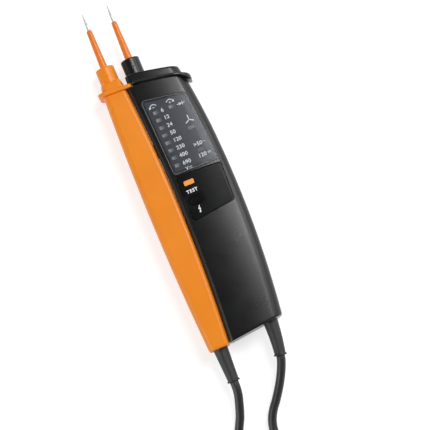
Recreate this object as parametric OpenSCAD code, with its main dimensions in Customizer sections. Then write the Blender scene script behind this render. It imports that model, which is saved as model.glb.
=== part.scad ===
// Two-pole voltage tester: a display handle and a probe handle that clip together side by side,
// joined by one lead. Millimetres, +Z out of the front face, +Y along the handles towards the probe
// tips, +X towards the outer side of the display handle. The tester lies on its flat back.

/* [Handles] */
// Length of the handles, from the lower end to the hand guards
handle_len = 195.5; // [185:0.5:210]
// Greatest width of the probe handle
probe_w = 22.6; // [21:0.1:25]
// Greatest width of the display handle
display_w = 44; // [42:0.1:50]
// Depth of the display handle, back to front
display_depth = 28; // [27:0.5:32]
// Depth of the probe handle, back to front
probe_depth = 26.5; // [25:0.5:30]
// Wall of the moulded shells
wall = 2.2; // [2:0.1:2.6]
// Gap between the two handles when they are clipped
seam_gap = 0.5; // [0.3:0.05:0.8]
// Radius of the curved seam between the handles
seam_r = 1220; // [1000:10:2000]
// Radius of the outer side of the probe handle
probe_side_r = 2000; // [1500:10:4000]
// Radius of the outer side of the display handle
display_side_r = 800; // [700:10:1600]
// Slope of the display handle's lower end, in degrees
end_slope = 6.2; // [0:0.1:9]

/* [Guards] */
// Thickness of the probe handle's guard
guard_t = 2.8; // [2:0.1:4]
// Thickness of the display handle's guard
display_guard_t = 1.9; // [1.6:0.1:2.8]
// How far a guard stands out of the front face
guard_rise = 2.6; // [1.5:0.1:4]
// How far the display handle's guard stands out at the outer side
guard_side = 3.8; // [2:0.1:6]
// How far the probe handle's guard stands out at the outer side
probe_guard_side = 3.2; // [2:0.1:6]
// Length of the display handle's block beyond its guard
display_block_len = 6.1; // [5:0.1:8]
// Length of the probe handle's block beyond its guard
probe_block_len = 7; // [5:0.1:10]

/* [Probes] */
// Distance between the two probes, which fits a socket's two holes
probe_pitch = 19; // [18:0.1:20]
// Diameter of the round collars
collar_d = 13.8; // [12:0.1:15]
// Length of the probe handle's collar
probe_collar_len = 12.7; // [10:0.1:14]
// Length of the display handle's collar
display_collar_len = 12.7; // [10:0.1:14]
// Diameter of the insulating sleeves at the collar
sleeve_base_d = 5.6; // [5:0.1:6.4]
// Diameter of the insulating sleeves at the tip
sleeve_tip_d = 4.1; // [3.8:0.1:4.8]
// Length of the insulating sleeves outside the collar
sleeve_len = 30.2; // [24:0.1:36]
// Diameter of the metal pins
pin_d = 2; // [1.8:0.1:2.4]
// Length of bare pin outside its sleeve
pin_out = 13.4; // [10:0.1:19]
// Length of the point of a pin
point_len = 8.6; // [5:0.1:9.5]

/* [Display window] */
// Thickness of the clear window
window_t = 1.4; // [1.2:0.1:1.6]
// Radius of the window's corners
window_r = 2.6; // [1.5:0.1:3.5]
// Distance between neighbouring lights of the column
light_pitch = 5.83; // [5.4:0.01:6.1]
// Number of lights in the column
light_count = 8; // [6:1:8]
// Width of one light
light_w = 4.7; // [3.5:0.1:5.2]
// Height of one light along the handle
light_h = 2.5; // [1.8:0.1:3]

/* [Key panel] */
// Thickness of the inlaid key panel
panel_t = 1.2; // [1:0.1:1.5]
// Width of the groove around the key panel
panel_groove = 0.5; // [0.3:0.05:0.8]
// Width of the test key's pad
key_w = 9.4; // [8:0.1:11]
// Height of the test key's pad along the handle
key_h = 6.8; // [6:0.1:8]
// Travel of the test key
key_travel = 0.8; // [0.4:0.1:1]
// Width of the coloured signal lens
signal_w = 7.4; // [6:0.1:9]
// Height of the coloured signal lens along the handle
signal_h = 3.5; // [2.5:0.1:4.5]

/* [Battery bay] */
// Diameter of a battery cell
cell_d = 10.5; // [10:0.1:10.6]
// Length of a battery cell
cell_len = 44.5; // [43:0.1:45]
// Thickness of the battery cover
cover_t = 1.6; // [1.4:0.1:1.8]

/* [Lead] */
// Diameter of the lead
lead_d = 6.3; // [5.5:0.1:6.4]
// Length of the flexible sleeves at the handles
relief_len = 24.8; // [20:0.1:30]
// Diameter of a flexible sleeve at the handle
relief_base_d = 10.6; // [9.6:0.1:11]
// Diameter of a flexible sleeve where the lead leaves it
relief_end_d = 8; // [7.6:0.1:8.6]
// Bend of the display handle's flexible sleeve, in degrees
relief_bend = 8; // [0:1:20]

/* [Hidden] */

// Clearances, and the overrun of every cut
fit = 0.1;
seat = 0.3;
over = 0.5;
tiny = 0.05;
parting_gap = 0.1;

// Smoothness of turned forms and of the moulded corners
turned_fn = 48;
corner_steps = 5;
form_steps = 4;
cavity_steps = 2;

// Where things stand along the handles
belly_share = 0.537;
belly_y = handle_len * belly_share;
seam_x = 2.8;
display_end_y = 0.8;
display_end_x = -0.7;
guard_mid_y = handle_len + guard_t / 2;
guard_top_y = handle_len + guard_t;
pin_x = probe_pitch / 2;
axis_z = display_depth / 2;
display_block_y = guard_top_y + display_block_len;
probe_block_y = guard_top_y + probe_block_len;
display_collar_y = display_block_y + display_collar_len;
probe_collar_y = probe_block_y + probe_collar_len;
display_tip_y = display_collar_y + sleeve_len + pin_out;
probe_tip_y = probe_collar_y + sleeve_len + pin_out;

// Corner roundings of the handles' cross sections, each as [across, deep]
display_corners = [[7, 7.5], [3.4, 3.2], [4.5, 4.5], [6, 6]];
probe_corners = [[3, 4], [4.2, 6], [5, 5], [4, 4]];
display_guard_corners = [[12, 10], [3, 3], [3, 3], [8, 8]];
probe_guard_corners = [[3, 3], [5, 6], [6, 6], [3, 3]];

// Curvature of the guards and of the display handle's shoulder, seen from the front
shoulder_slope = 12.2;
guard_sweep_r = 46;
guard_sweep_len = 13.2;
probe_guard_r = 119;
guard_curl_r = 14;
guard_curl_len = 5;
sweep_start_share = 0.77;
probe_guard_overlap = 4;
display_guard_x = probe_guard_overlap + seam_gap;
end_round = 1.2;
nose_len = 8;
cavity_end_y = handle_len - nose_len / 2;
end_wall = 4.4;
cavity_low_y = display_end_y + end_wall;

// The block beyond the display handle's guard is narrower than the handle
block_step_left = 2.2;
block_step_right = 0.6;
block_draft = 0.4;
block_drop = 0.6;
probe_block_step = -0.3;
probe_block_draft = 0.8;

// Sides of the handles and the seam between them, as seen from the front
function sag(y, r) = pow(y - belly_y, 2) / (2 * r);
function seam(y) = seam_x - sag(y, seam_r);
function probe_right(y) = seam(y) - seam_gap / 2;
function probe_left(y) = seam_x - seam_gap / 2 - probe_w + sag(y, probe_side_r);
function display_left(y) = seam(y) + seam_gap / 2;
function display_right(y) = seam_x + seam_gap / 2 + display_w - sag(y, display_side_r);

// The display handle's lower end slopes, and its upper end and guard sweep back to the outer side
function sweep(x) =
    let (u = max(x - pin_x, 0), v = min(u, guard_sweep_len))
    v * v / (2 * guard_sweep_r) + (u - v) * guard_sweep_len / guard_sweep_r;
function shoulder(x) = max(x - pin_x, 0) * tan(shoulder_slope);
function grown(y, from, to) = min(max((y - from) / (to - from), 0), 1);
function display_shift(x, y) =
    (x - display_end_x) * tan(end_slope) * (1 - grown(y, display_end_y, handle_len / 2))
    - sweep(x) * grown(y, handle_len * sweep_start_share, guard_mid_y)
    - (shoulder(x) - sweep(x)) * grown(y, guard_top_y, display_block_y);
function display_point(x, y, z) = [x, y + display_shift(x, y), z];

// A rounded cross section as [x, z] points. Corners run front right, front left, back left, back right.
function corner(cx, cz, r, from, steps) =
    [for (i = [0 : steps]) let (a = from + 90 * i / steps)
        [cx + r[0] * cos(a), cz + r[1] * sin(a)]];
function shrunk(r, inset) = [max(r[0] - inset, over), max(r[1] - inset, over)];
function section(xl, xr, zb, zt, corners, inset = 0, steps = form_steps) =
    let (r = [for (c = corners) shrunk(c, inset)],
         l = xl + inset, h = xr - inset, b = zb + inset, t = zt - inset)
    concat(
        corner(h - r[0][0], t - r[0][1], r[0], 0, steps),
        corner(l + r[1][0], t - r[1][1], r[1], 90, steps),
        corner(l + r[2][0], b + r[2][1], r[2], 180, steps),
        corner(h - r[3][0], b + r[3][1], r[3], 270, steps));

// Triangles that join rings of points into one closed skin, with a fan over each end
function skin_faces(rings, sides) =
    let (last = (rings - 1) * sides, first_hub = rings * sides, last_hub = first_hub + 1)
    concat(
        [for (i = [0 : rings - 2], j = [0 : sides - 1]) let (k = (j + 1) % sides)
            [i * sides + j, (i + 1) * sides + k, (i + 1) * sides + j]],
        [for (i = [0 : rings - 2], j = [0 : sides - 1]) let (k = (j + 1) % sides)
            [i * sides + j, i * sides + k, (i + 1) * sides + k]],
        [for (j = [0 : sides - 1]) [first_hub, (j + 1) % sides, j]],
        [for (j = [0 : sides - 1]) [last_hub, last + j, last + (j + 1) % sides]]);
function middle(ring) = [for (k = [0 : 2]) (min([for (p = ring) p[k]]) + max([for (p = ring) p[k]])) / 2];
module skin(rings) {
    sides = len(rings[0]);
    polyhedron(
        points = concat([for (r = rings, p = r) p], [middle(rings[0]), middle(rings[len(rings) - 1])]),
        faces = skin_faces(len(rings), sides), convexity = 6);
}

// A flat outline with rounded corners, from its sharp corners and one radius each
function unit(v) = v / norm(v);
function turn_at(a, b, c) = acos(max(-1, min(1, unit(b - a) * unit(c - b))));
function fillet(a, b, c, r) =
    let (u = unit(a - b), v = unit(c - b), half = turn_at(a, b, c) / 2,
         hub = b + unit(u + v) * r / cos(half), side = (u[0] * v[1] - u[1] * v[0]) < 0 ? 1 : -1,
         first = b + u * r * tan(half) - hub, start = atan2(first[1], first[0]))
    [for (i = [0 : corner_steps]) let (t = start + side * 2 * half * i / corner_steps)
        hub + r * [cos(t), sin(t)]];
function rounded(points, radii) =
    let (n = len(points))
    [for (i = [0 : n - 1])
        each fillet(points[(i + n - 1) % n], points[i], points[(i + 1) % n], radii[i])];
function box_points(w, h) = [[-w / 2, -h / 2], [w / 2, -h / 2], [w / 2, h / 2], [-w / 2, h / 2]];
function moved(points, by) = [for (p = points) p + by];
// Corners of a four-sided outline moved inwards by d, or outwards where d is negative
function inward(a, b) = [-unit(b - a)[1], unit(b - a)[0]];
function meet(p, u, q, v) =
    p + u * ((q[0] - p[0]) * v[1] - (q[1] - p[1]) * v[0]) / (u[0] * v[1] - u[1] * v[0]);
function inset_points(p, d) =
    let (n = len(p))
    [for (i = [0 : n - 1]) let (a = p[(i + n - 1) % n], b = p[i], c = p[(i + 1) % n])
        meet(a + inward(a, b) * d, b - a, b + inward(b, c) * d, c - b)];
module slab(points, low, high) {
    translate([0, 0, low]) linear_extrude(high - low) polygon(points);
}
module plate(w, h, r, low, high) {
    slab(rounded(box_points(w, h), [r, r, r, r]), low, high);
}
// A round bar along Y from one place to another
module bar_y(d, from, to) {
    translate([0, from, 0]) rotate([-90, 0, 0]) cylinder(d = d, h = to - from, $fn = turned_fn);
}
// Everything is placed from the middle of the tester's own box
relief_ring_t = 1.3;
left_reach = probe_left(handle_len) - probe_guard_side;
right_reach = display_right(belly_y);
home = [-(left_reach + right_reach) / 2, (relief_len + fit - probe_tip_y) / 2, 0];

// Outline of the window and of the key panel on the display handle's front, lower left first
window_rim = 4.7;
window_bottom_gap = 70.8;
window_side = 4.7;
window_top_side = 5.6;
window_top_gap = 12.2;
window_right_gap = 17.8;
window_corners = [
    [display_left(handle_len - window_bottom_gap) + window_rim, handle_len - window_bottom_gap],
    [display_right(handle_len - window_bottom_gap) - window_side, handle_len - window_bottom_gap - over],
    [display_right(handle_len - window_top_gap) - window_top_side, handle_len - window_right_gap],
    [display_left(handle_len - window_top_gap) + window_rim, handle_len - window_top_gap]];
window_radii = [window_r, window_r / 2, window_r * 2, window_r];
window_ledge = 1.4;
window_z = display_depth - window_t;

panel_gap = 1.8;
panel_left_gap = 5.2;
panel_side = 5.4;
panel_low_side = 6.6;
panel_len = 33.6;
panel_slope = 3.2;
low_slope_share = 1.3;
panel_top_y = handle_len - window_bottom_gap - panel_gap;
panel_low_y = panel_top_y - panel_len;
panel_corners = [
    [display_left(panel_low_y) + panel_left_gap, panel_low_y],
    [display_right(panel_low_y) - panel_low_side, panel_low_y + panel_slope * low_slope_share],
    [display_right(panel_top_y) - panel_side, panel_top_y - panel_slope / 2],
    [display_left(panel_top_y) + panel_left_gap, panel_top_y]];
panel_radii = [window_r, over, window_r / 2, over];
panel_z = display_depth - panel_t;

key_x = 15.2;
key_r = 2.2;
key_ring = 1.9;
key_ring_depth = 0.6;
key_drop = 19.6;
key_y = panel_top_y - key_drop;
key_flange = 1.2;
key_proud = 0.1;
signal_drop = 6.6;
signal_y = panel_top_y - signal_drop;
signal_r = 0.6;

// The circuit board and what stands on it
board_t = 1.6;
board_z = axis_z + 2.4;
board_top = board_z + board_t;
board_low_margin = 9.3;
board_high_margin = 9.5;
board_low_y = panel_low_y - board_low_margin;
board_high_y = handle_len - board_high_margin;
board_edge = 1;
board_steps = 6;
light_x = 12.8;
second_column = 24.9;
warning_x = 31.9;
limit_x = 32.3;
first_light_drop = 23.9;
warning_drop = 43.1;
limit_drop = 60.3;
first_light_y = handle_len - first_light_drop;
warning_light = [warning_x, handle_len - warning_drop];
limit_light = [limit_x, handle_len - limit_drop];
lights = concat(
    [for (i = [0 : light_count - 1]) [light_x, first_light_y - i * light_pitch]],
    [[second_column, first_light_y], warning_light, limit_light]);
mask_top = window_z - seat;
mask_t = 2;
mask_rim = 1.2;
light_top = mask_top - fit;

module place() {
    translate(home) children();
}

// Shape of the display handle, with its end roundings, its block and its collar
body_shares = [0.02, 0.2, 0.38, 0.55, 0.71, 0.84, 0.94, 1];
function display_ring(y, inset, left = 0, right = 0, drop = 0) =
    [for (p = section(display_left(y) + left, display_right(y) - right, 0, display_depth - drop,
                      display_corners, inset))
        display_point(p[0], y, p[1])];
module display_form() {
    skin(concat(
        [display_ring(display_end_y, end_round), display_ring(display_end_y + end_round / 3, end_round / 3)],
        [for (s = body_shares) display_ring(handle_len * s, 0)],
        [for (k = [0 : 3]) let (s = k / 3)
            display_ring(guard_mid_y + s * (display_block_len - end_round / 2), 0,
                block_step_left + s * block_draft, block_step_right + s * block_draft, block_drop)],
        [display_ring(display_block_y, end_round, block_step_left + block_draft,
            block_step_right + block_draft, block_drop)]));
}
curl_x = display_right(handle_len) + guard_side - guard_curl_len;
function guard_ring(xl, xr, zt, corners, y, inset) =
    [for (p = section(xl, xr, 0, zt, corners, inset)) [p[0], y, p[1]]];
guard_profile = [[-0.5, 1], [-0.36, 0.3], [-0.14, 0], [0.14, 0], [0.36, 0.3], [0.5, 1]];
function display_guard_point(p) =
    [p[0], p[1] - sweep(p[0]) - pow(max(p[0] - curl_x, 0), 2) / (2 * guard_curl_r), p[2]];
module display_guard() {
    skin([for (g = guard_profile)
        [for (p = guard_ring(display_guard_x, display_right(handle_len) + guard_side,
                display_depth + guard_rise, display_guard_corners,
                guard_top_y + (g[0] - 1 / 2) * display_guard_t, g[1] * display_guard_t / guard_t))
            display_guard_point(p)]]);
}
collar_round = 1;
module collar(from, to) {
    translate([0, from, 0]) rotate([-90, 0, 0]) rotate_extrude($fn = turned_fn) {
        square([collar_d / 2 - collar_round, to - from]);
        square([collar_d / 2, to - from - collar_round]);
        translate([collar_d / 2 - collar_round, to - from - collar_round])
            circle(r = collar_round, $fn = turned_fn / 2);
    }
}
function cavity_ring(y) =
    [for (p = section(display_left(y) + wall, display_right(y) - wall, wall, display_depth - wall,
                      [for (c = display_corners) shrunk(c, wall)], 0, cavity_steps))
        display_point(p[0], y, p[1])];
cavity_shares = [0.22, 0.45, 0.67, 0.84];
module display_cavity() {
    skin(concat([cavity_ring(cavity_low_y)], [for (s = cavity_shares) cavity_ring(handle_len * s)],
        [cavity_ring(cavity_end_y)]));
}

// The way of a probe through the nose of a handle: collar bore, flange pocket and pin hole
flange_d = 8;
flange_t = 1.6;
flange_y = handle_len + 4;
sleeve_root_y = handle_len;
module nose_bores(x, collar_y, depth) {
    translate([x, 0, axis_z]) {
        bar_y(sleeve_base_d + 2 * fit, sleeve_root_y, collar_y + over);
        bar_y(flange_d + 2 * fit, flange_y - fit, flange_y + flange_t + fit);
        bar_y(pin_d + 2 * fit, cavity_end_y - nose_len, sleeve_root_y + over);
    }
}

// Battery bay in the back shell, open at the back and closed by the cover
cell_gap = 0.5;
cell_room = 0.8;
bay_wall = 1.5;
bay_x = 17.5;
bay_y = 40;
bay_w = 2 * cell_d + cell_gap + 2 * cell_room;
contact_t = 1.2;
bay_len = cell_len + 2 * contact_t + cell_room;
bay_roof = 1;
bay_roof_z = axis_z - bay_roof - parting_gap;
cover_lap = 1.8;
cover_w = bay_w + 2 * cover_lap;
cover_tail = 8.6;
cover_screw_in = 4.3;
mid_boss_gap = 7.5;
cover_len = bay_len + cover_lap + cover_tail;
cover_y = bay_y + (cover_tail - cover_lap) / 2;
cover_screw_y = bay_y + bay_len / 2 + cover_tail - cover_screw_in;
cell_z = cover_t + seat + cell_d / 2;
cover_screw_len = 7;
cover_post_d = 6.4;
cover_pad_t = 1;
mid_boss_y = bay_y + bay_len / 2 + cover_tail + mid_boss_gap;

// Screws: each post of the back shell meets a boss of the front shell at the parting plane
boss_d = 6;
screw_d = 2.4;
screw_head_d = 4.6;
head_t = 1.8;
screw_len = 9;
head_recess = 3.2;
top_boss_drop = 8.5;
top_boss_y = handle_len - top_boss_drop;
// Bosses of the display handle as height along the handle and distance from its left or right side
end_boss_y = 9.8;
side_boss_y = 17.5;
left_boss_in = 6.6;
right_boss_in = 5.4;
mid_left_in = 4.2;
mid_right_in = 7;
top_boss_in = 26;
probe_boss_y = 22;
probe_left_in = 4.1;
probe_right_in = 6.7;
probe_mid_drop = 7;
function display_boss(y, from_left) =
    [from_left > 0 ? display_left(y) + from_left : display_right(y) + from_left, y];
display_bosses = [
    display_boss(end_boss_y, left_boss_in), display_boss(side_boss_y, -right_boss_in),
    display_boss(mid_boss_y, mid_left_in), display_boss(mid_boss_y, -mid_right_in),
    display_boss(top_boss_y, top_boss_in)];
function probe_boss(y, from_left) =
    [from_left > 0 ? probe_left(y) + from_left : probe_right(y) + from_left, y];
probe_bosses = [
    probe_boss(probe_boss_y, probe_left_in), probe_boss(belly_y - probe_mid_drop, -probe_right_in),
    probe_boss(top_boss_y, probe_left_in)];
module boss(p, low, high) {
    translate([p[0], p[1], low]) cylinder(d = boss_d, h = high - low, $fn = turned_fn);
}
module pilot(p) {
    translate([p[0], p[1], axis_z - over])
        cylinder(d = screw_d + 2 * tiny, h = screw_len + over, $fn = turned_fn / 2);
}
module screw_way(p) {
    translate([p[0], p[1], -over]) {
        cylinder(d = screw_d + 4 * fit, h = axis_z + 2 * over, $fn = turned_fn / 2);
        cylinder(d = screw_head_d + 4 * fit, h = head_recess + over, $fn = turned_fn);
    }
}
module screw(p) {
    translate([p[0], p[1], head_recess - tiny]) difference() {
        union() {
            translate([0, 0, -head_t]) cylinder(d = screw_head_d, h = head_t, $fn = turned_fn);
            cylinder(d = screw_d, h = axis_z - head_recess + screw_len - over - fit, $fn = turned_fn / 2);
        }
        translate([0, 0, -head_t - over]) for (a = [0, 90]) rotate([0, 0, a])
            translate([-slot_len / 2, -slot_w / 2, 0]) cube([slot_len, slot_w, slot_depth + over]);
    }
}
slot_len = 2.8;
slot_w = 0.7;
slot_depth = 1;

// Parting plane: everything above it belongs to a front shell, everything below to a back shell
far = 400;
module front_half() {
    intersection() {
        children();
        translate([-far / 2, -far / 2, axis_z + parting_gap / 2]) cube([far, far * 2, far]);
    }
}
module back_half() {
    intersection() {
        children();
        translate([-far / 2, -far / 2, axis_z - parting_gap / 2 - far]) cube([far, far * 2, far]);
    }
}

// The notch of the display handle that takes the inner end of the probe handle's guard
notch_y = seam_gap;
module guard_notch() {
    translate([display_left(handle_len) - over * 4, handle_len - notch_y, -over])
        cube([display_guard_x - display_left(handle_len) + over * 4, guard_t + 2 * notch_y,
              display_depth + 2 * over]);
}

// The flexible sleeves' seats in the lower ends of the handles
relief_x = -9.2;
display_relief_x = 30.8;
display_relief_lean = -2;
relief_sink = 0.8;
display_relief_y = display_end_y + (display_relief_x - display_end_x) * tan(end_slope);
neck_d = 9;
inner_flange_d = 12.6;
inner_flange_t = 2;
module relief_seat(x, y, lean) {
    translate([x, y, axis_z]) rotate([0, 0, lean]) {
        bar_y(relief_base_d + 2 * fit, -relief_base_d / 4, relief_sink);
        bar_y(neck_d + 2 * fit, 0, wall + over);
        bar_y(inner_flange_d + 2 * fit, wall + fit, cavity_low_y + over);
    }
}

// Clip between the handles: tongues on the probe handle enter slots in the display handle
tongue_len = 3.2;
tongue_w = 11;
tongue_h = 4;
tongue_z = 6;
tongue_gap = 10;
upper_tongue_share = 0.76;
tongue_ys = [mid_boss_y + tongue_gap, handle_len * upper_tongue_share];

module display_front_shell() {
    color([0.13, 0.13, 0.13]) place() difference() {
        union() {
            front_half() difference() {
                union() {
                    display_form();
                    display_guard();
                    translate([pin_x, 0, axis_z]) collar(guard_top_y, display_collar_y);
                }
                display_cavity();
            }
            for (p = display_bosses)
                boss(p, axis_z + parting_gap / 2, display_depth - wall + tiny);
            for (y = front_ribs) front_rib(y);
        }
        nose_bores(pin_x, display_collar_y, display_depth);
        guard_notch();
        relief_seat(display_relief_x, display_relief_y, display_relief_lean);
        for (p = display_bosses) pilot(p);
        slab(rounded(inset_points(window_corners, -fit), window_radii), window_z - fit, display_depth + over);
        slab(rounded(inset_points(window_corners, window_ledge), window_radii), axis_z + over, display_depth);
        slab(rounded(inset_points(panel_corners, -panel_groove), panel_radii),
            panel_z - tiny, display_depth + over);
        translate([key_x, key_y, 0])
            plate(key_w + 2 * seat, key_h + 2 * seat, key_r + seat, axis_z + over, display_depth);
    }
}
rib_shares = [0.3, 0.52, 0.74];
front_ribs = [for (s = rib_shares) panel_low_y * s];
rib_t = 1.4;
rib_h = 3;
module front_rib(y) {
    translate([display_left(y) + wall - fit, y + display_shift(bay_x, y), display_depth - wall - rib_h])
        cube([display_right(y) - display_left(y) - 2 * wall + 2 * fit, rib_t, rib_h + fit]);
}

module display_back_shell() {
    color([0.12, 0.12, 0.12]) place() difference() {
        union() {
            back_half() difference() {
                union() {
                    display_form();
                    display_guard();
                    translate([pin_x, 0, axis_z]) collar(guard_top_y, display_collar_y);
                }
                display_cavity();
            }
            for (p = display_bosses) boss(p, wall - tiny, axis_z - parting_gap / 2);
            for (p = board_posts) translate([p[0], p[1], wall - tiny])
                cylinder(d = post_d, h = board_z - wall + tiny - fit, $fn = turned_fn / 2);
            translate([bay_x - bay_w / 2 - bay_wall, bay_y - bay_len / 2 - bay_wall, wall - tiny])
                cube([bay_w + 2 * bay_wall, bay_len + 2 * bay_wall, bay_roof_z + bay_roof - wall]);
            translate([bay_x, cover_screw_y, wall - tiny])
                cylinder(d = cover_post_d, h = cover_screw_len + over, $fn = turned_fn);
            translate([bay_x - cover_w / 2 - 1, cover_y - cover_len / 2 - 1, wall - tiny])
                cube([cover_w + 2, cover_len + 2, cover_pad_t]);
        }
        nose_bores(pin_x, display_collar_y, display_depth);
        guard_notch();
        relief_seat(display_relief_x, display_relief_y, display_relief_lean);
        for (p = display_bosses) screw_way(p);
        translate([bay_x - bay_w / 2, bay_y - bay_len / 2, -over])
            cube([bay_w, bay_len, bay_roof_z + over]);
        translate([bay_x, cover_y, 0])
            plate(cover_w + 2 * fit, cover_len + 2 * fit, cover_r, -over, cover_t + fit);
        translate([bay_x, cover_screw_y, 0])
            cylinder(d = screw_d + 2 * tiny, h = wall + cover_screw_len, $fn = turned_fn / 2);
        for (y = tongue_ys) clip_slot(y);
    }
}
cover_r = 2.4;
post_d = 4;
post_x = [9, 38];
low_post_up = 10.7;
mid_post_drop = 55.5;
top_post_x = 20;
top_post_drop = 15.5;
side_post_x = 36;
side_post_drop = 23.5;
board_posts = concat(
    [for (x = post_x) [x, panel_low_y + low_post_up]], [for (x = post_x) [x, handle_len - mid_post_drop]],
    [[top_post_x, handle_len - top_post_drop], [side_post_x, handle_len - side_post_drop]]);
module clip_slot(y) {
    translate([display_left(y) - 4 * over, y - tongue_w / 2 - seat, tongue_z - seat])
        cube([tongue_len + 6 * over, tongue_w + 2 * seat, tongue_h + 2 * seat]);
}

module display_window() {
    color([0.35, 0.38, 0.42, 0.6]) place()
        slab(rounded(window_corners, window_radii), window_z, display_depth);
}

module light_mask() {
    outline = inset_points(window_corners, window_ledge + seat);
    radii = [for (r = window_radii) r / 2];
    color([0.15, 0.15, 0.16]) place() difference() {
        slab(rounded(outline, radii), board_top + tiny, mask_top);
        slab(rounded(inset_points(outline, mask_rim), radii), board_top - over, mask_top - mask_t);
        for (p = lights) translate(p)
            plate(light_w + 2 * fit, light_h + 2 * fit, over, board_top, mask_top + over);
    }
}

module indicator_lights() {
    color([0.62, 0.63, 0.64]) place() for (p = lights) translate(p)
        plate(light_w, light_h, over, board_top + tiny, light_top);
}

function board_edge_points() = concat(
    [for (i = [0 : board_steps]) let (y = board_high_y + (board_low_y - board_high_y) * i / board_steps)
        [display_left(y) + wall + board_edge, y]],
    [for (i = [0 : board_steps]) let (y = board_low_y + (board_high_y - board_low_y) * i / board_steps)
        [display_right(y) - wall - board_edge, y + min(display_shift(display_right(y), y), 0)]]);
module circuit_board() {
    color([0.1, 0.35, 0.2]) place() difference() {
        slab(board_edge_points(), board_z, board_top);
        for (p = display_bosses) translate([p[0], p[1], board_z - over])
            cylinder(d = boss_d + 2 * seat, h = board_t + 2 * over, $fn = turned_fn);
    }
}

chip_x = 30;
chip_up = 0.7;
chip_at = [chip_x, panel_low_y + chip_up];
chip_size = [9, 9, 1.4];
module controller_chip() {
    color([0.08, 0.08, 0.08]) place() translate([chip_at[0], chip_at[1], board_top + tiny + chip_size[2] / 2])
        cube(chip_size, center = true);
}

// A resistor lies along the handle, with its wires bent down to the board
resistor_d = 3.6;
resistor_len = 11;
resistor_wire_d = 0.8;
resistor_pitch = 6.2;
resistor_count = 3;
resistor_y = handle_len - mid_post_drop;
module protection_resistors() {
    color([0.35, 0.45, 0.6]) place() for (i = [0 : resistor_count - 1])
        translate([resistor_x + i * resistor_pitch, resistor_y, board_z - fit - resistor_d / 2]) {
            bar_y(resistor_d, -resistor_len / 2, resistor_len / 2);
            bar_y(resistor_wire_d, -resistor_len, resistor_len);
        }
}
resistor_x = 17;

buzzer_d = 12;
buzzer_h = 4.4;
buzzer_x = 29;
buzzer_drop = 12.9;
buzzer_at = [buzzer_x, panel_top_y - buzzer_drop];
buzzer_hole_d = 2;
module buzzer() {
    color([0.1, 0.1, 0.1]) place()
        translate([buzzer_at[0], buzzer_at[1], board_z - buzzer_h - tiny]) difference() {
            cylinder(d = buzzer_d, h = buzzer_h, $fn = turned_fn);
            translate([0, 0, -over]) cylinder(d = buzzer_hole_d, h = buzzer_h / 2, $fn = turned_fn / 2);
        }
}

clamp_w = 5;
clamp_len = 7;
clamp_grip = 5;
clamp_y = cavity_end_y - nose_len - clamp_len / 2 + clamp_grip;
module display_pin_clamp() {
    color([0.8, 0.65, 0.3]) place() difference() {
        translate([pin_x - clamp_w / 2, clamp_y - clamp_len / 2, axis_z - clamp_w / 2])
            cube([clamp_w, clamp_len, board_z - axis_z + clamp_w / 2 - fit]);
        translate([pin_x, 0, axis_z]) bar_y(pin_d + 2 * tiny, clamp_y - clamp_len, clamp_y + clamp_len);
    }
}

module key_panel() {
    color([0.16, 0.16, 0.16]) place() difference() {
        slab(rounded(panel_corners, panel_radii), panel_z, display_depth);
        translate([key_x, key_y, 0]) {
            plate(key_w + 2 * seat, key_h + 2 * seat, key_r + seat, panel_z - over, display_depth + over);
            plate(key_w + 2 * key_ring, key_h + 2 * key_ring, key_r + key_ring,
                display_depth - key_ring_depth, display_depth + over);
        }
        translate([key_x, signal_y, 0])
            plate(signal_w + 2 * fit, signal_h + 2 * fit, signal_r + fit,
                panel_z - over, display_depth + over);
    }
}

key_bottom = display_depth - wall - seat - key_flange;
key_flange_out = 1.4;
module test_key() {
    color([0.14, 0.14, 0.14]) place() translate([key_x, key_y, 0]) {
        plate(key_w, key_h, key_r, key_bottom, display_depth + key_proud);
        plate(key_w + 2 * key_flange_out, key_h + 2 * key_flange_out, key_r + key_flange_out,
            key_bottom, key_bottom + key_flange);
    }
}

switch_w = 6;
switch_button_d = 3.4;
switch_button_h = 1;
switch_top = key_bottom - key_travel - fit;
module key_switch() {
    color([0.2, 0.2, 0.22]) place() translate([key_x, key_y, 0]) {
        translate([-switch_w / 2, -switch_w / 2, board_top + tiny])
            cube([switch_w, switch_w, switch_top - switch_button_h - board_top - tiny]);
        translate([0, 0, switch_top - switch_button_h])
            cylinder(d = switch_button_d, h = switch_button_h, $fn = turned_fn / 2);
    }
}

module signal_lens() {
    color([0.95, 0.55, 0.2]) place() translate([key_x, signal_y, 0])
        plate(signal_w, signal_h, signal_r, panel_z, display_depth + key_proud);
}

cell_cap_d = 3.6;
cell_cap = 0.9;
module batteries() {
    color([0.55, 0.56, 0.58]) place() for (side = [-1, 1])
        translate([bay_x + side * (cell_d + cell_gap) / 2, bay_y, cell_z])
            rotate([0, 0, side > 0 ? 180 : 0]) {
                bar_y(cell_d, -cell_len / 2, cell_len / 2 - cell_cap);
                bar_y(cell_cap_d, -cell_len / 2, cell_len / 2);
            }
}

contact_w = 8;
contact_h = 8;
contact_sheet = 0.4;
contact_dome_d = 5;
module battery_contacts() {
    color([0.8, 0.8, 0.78]) place() for (end = [-1, 1], side = [-1, 1])
        translate([bay_x + side * (cell_d + cell_gap) / 2, bay_y + end * bay_len / 2, cell_z])
            rotate([0, 0, end > 0 ? 180 : 0]) {
                translate([-contact_w / 2, tiny, -contact_h / 2]) cube([contact_w, contact_sheet, contact_h]);
                bar_y(contact_dome_d, tiny, contact_t + tiny);
            }
}

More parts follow.
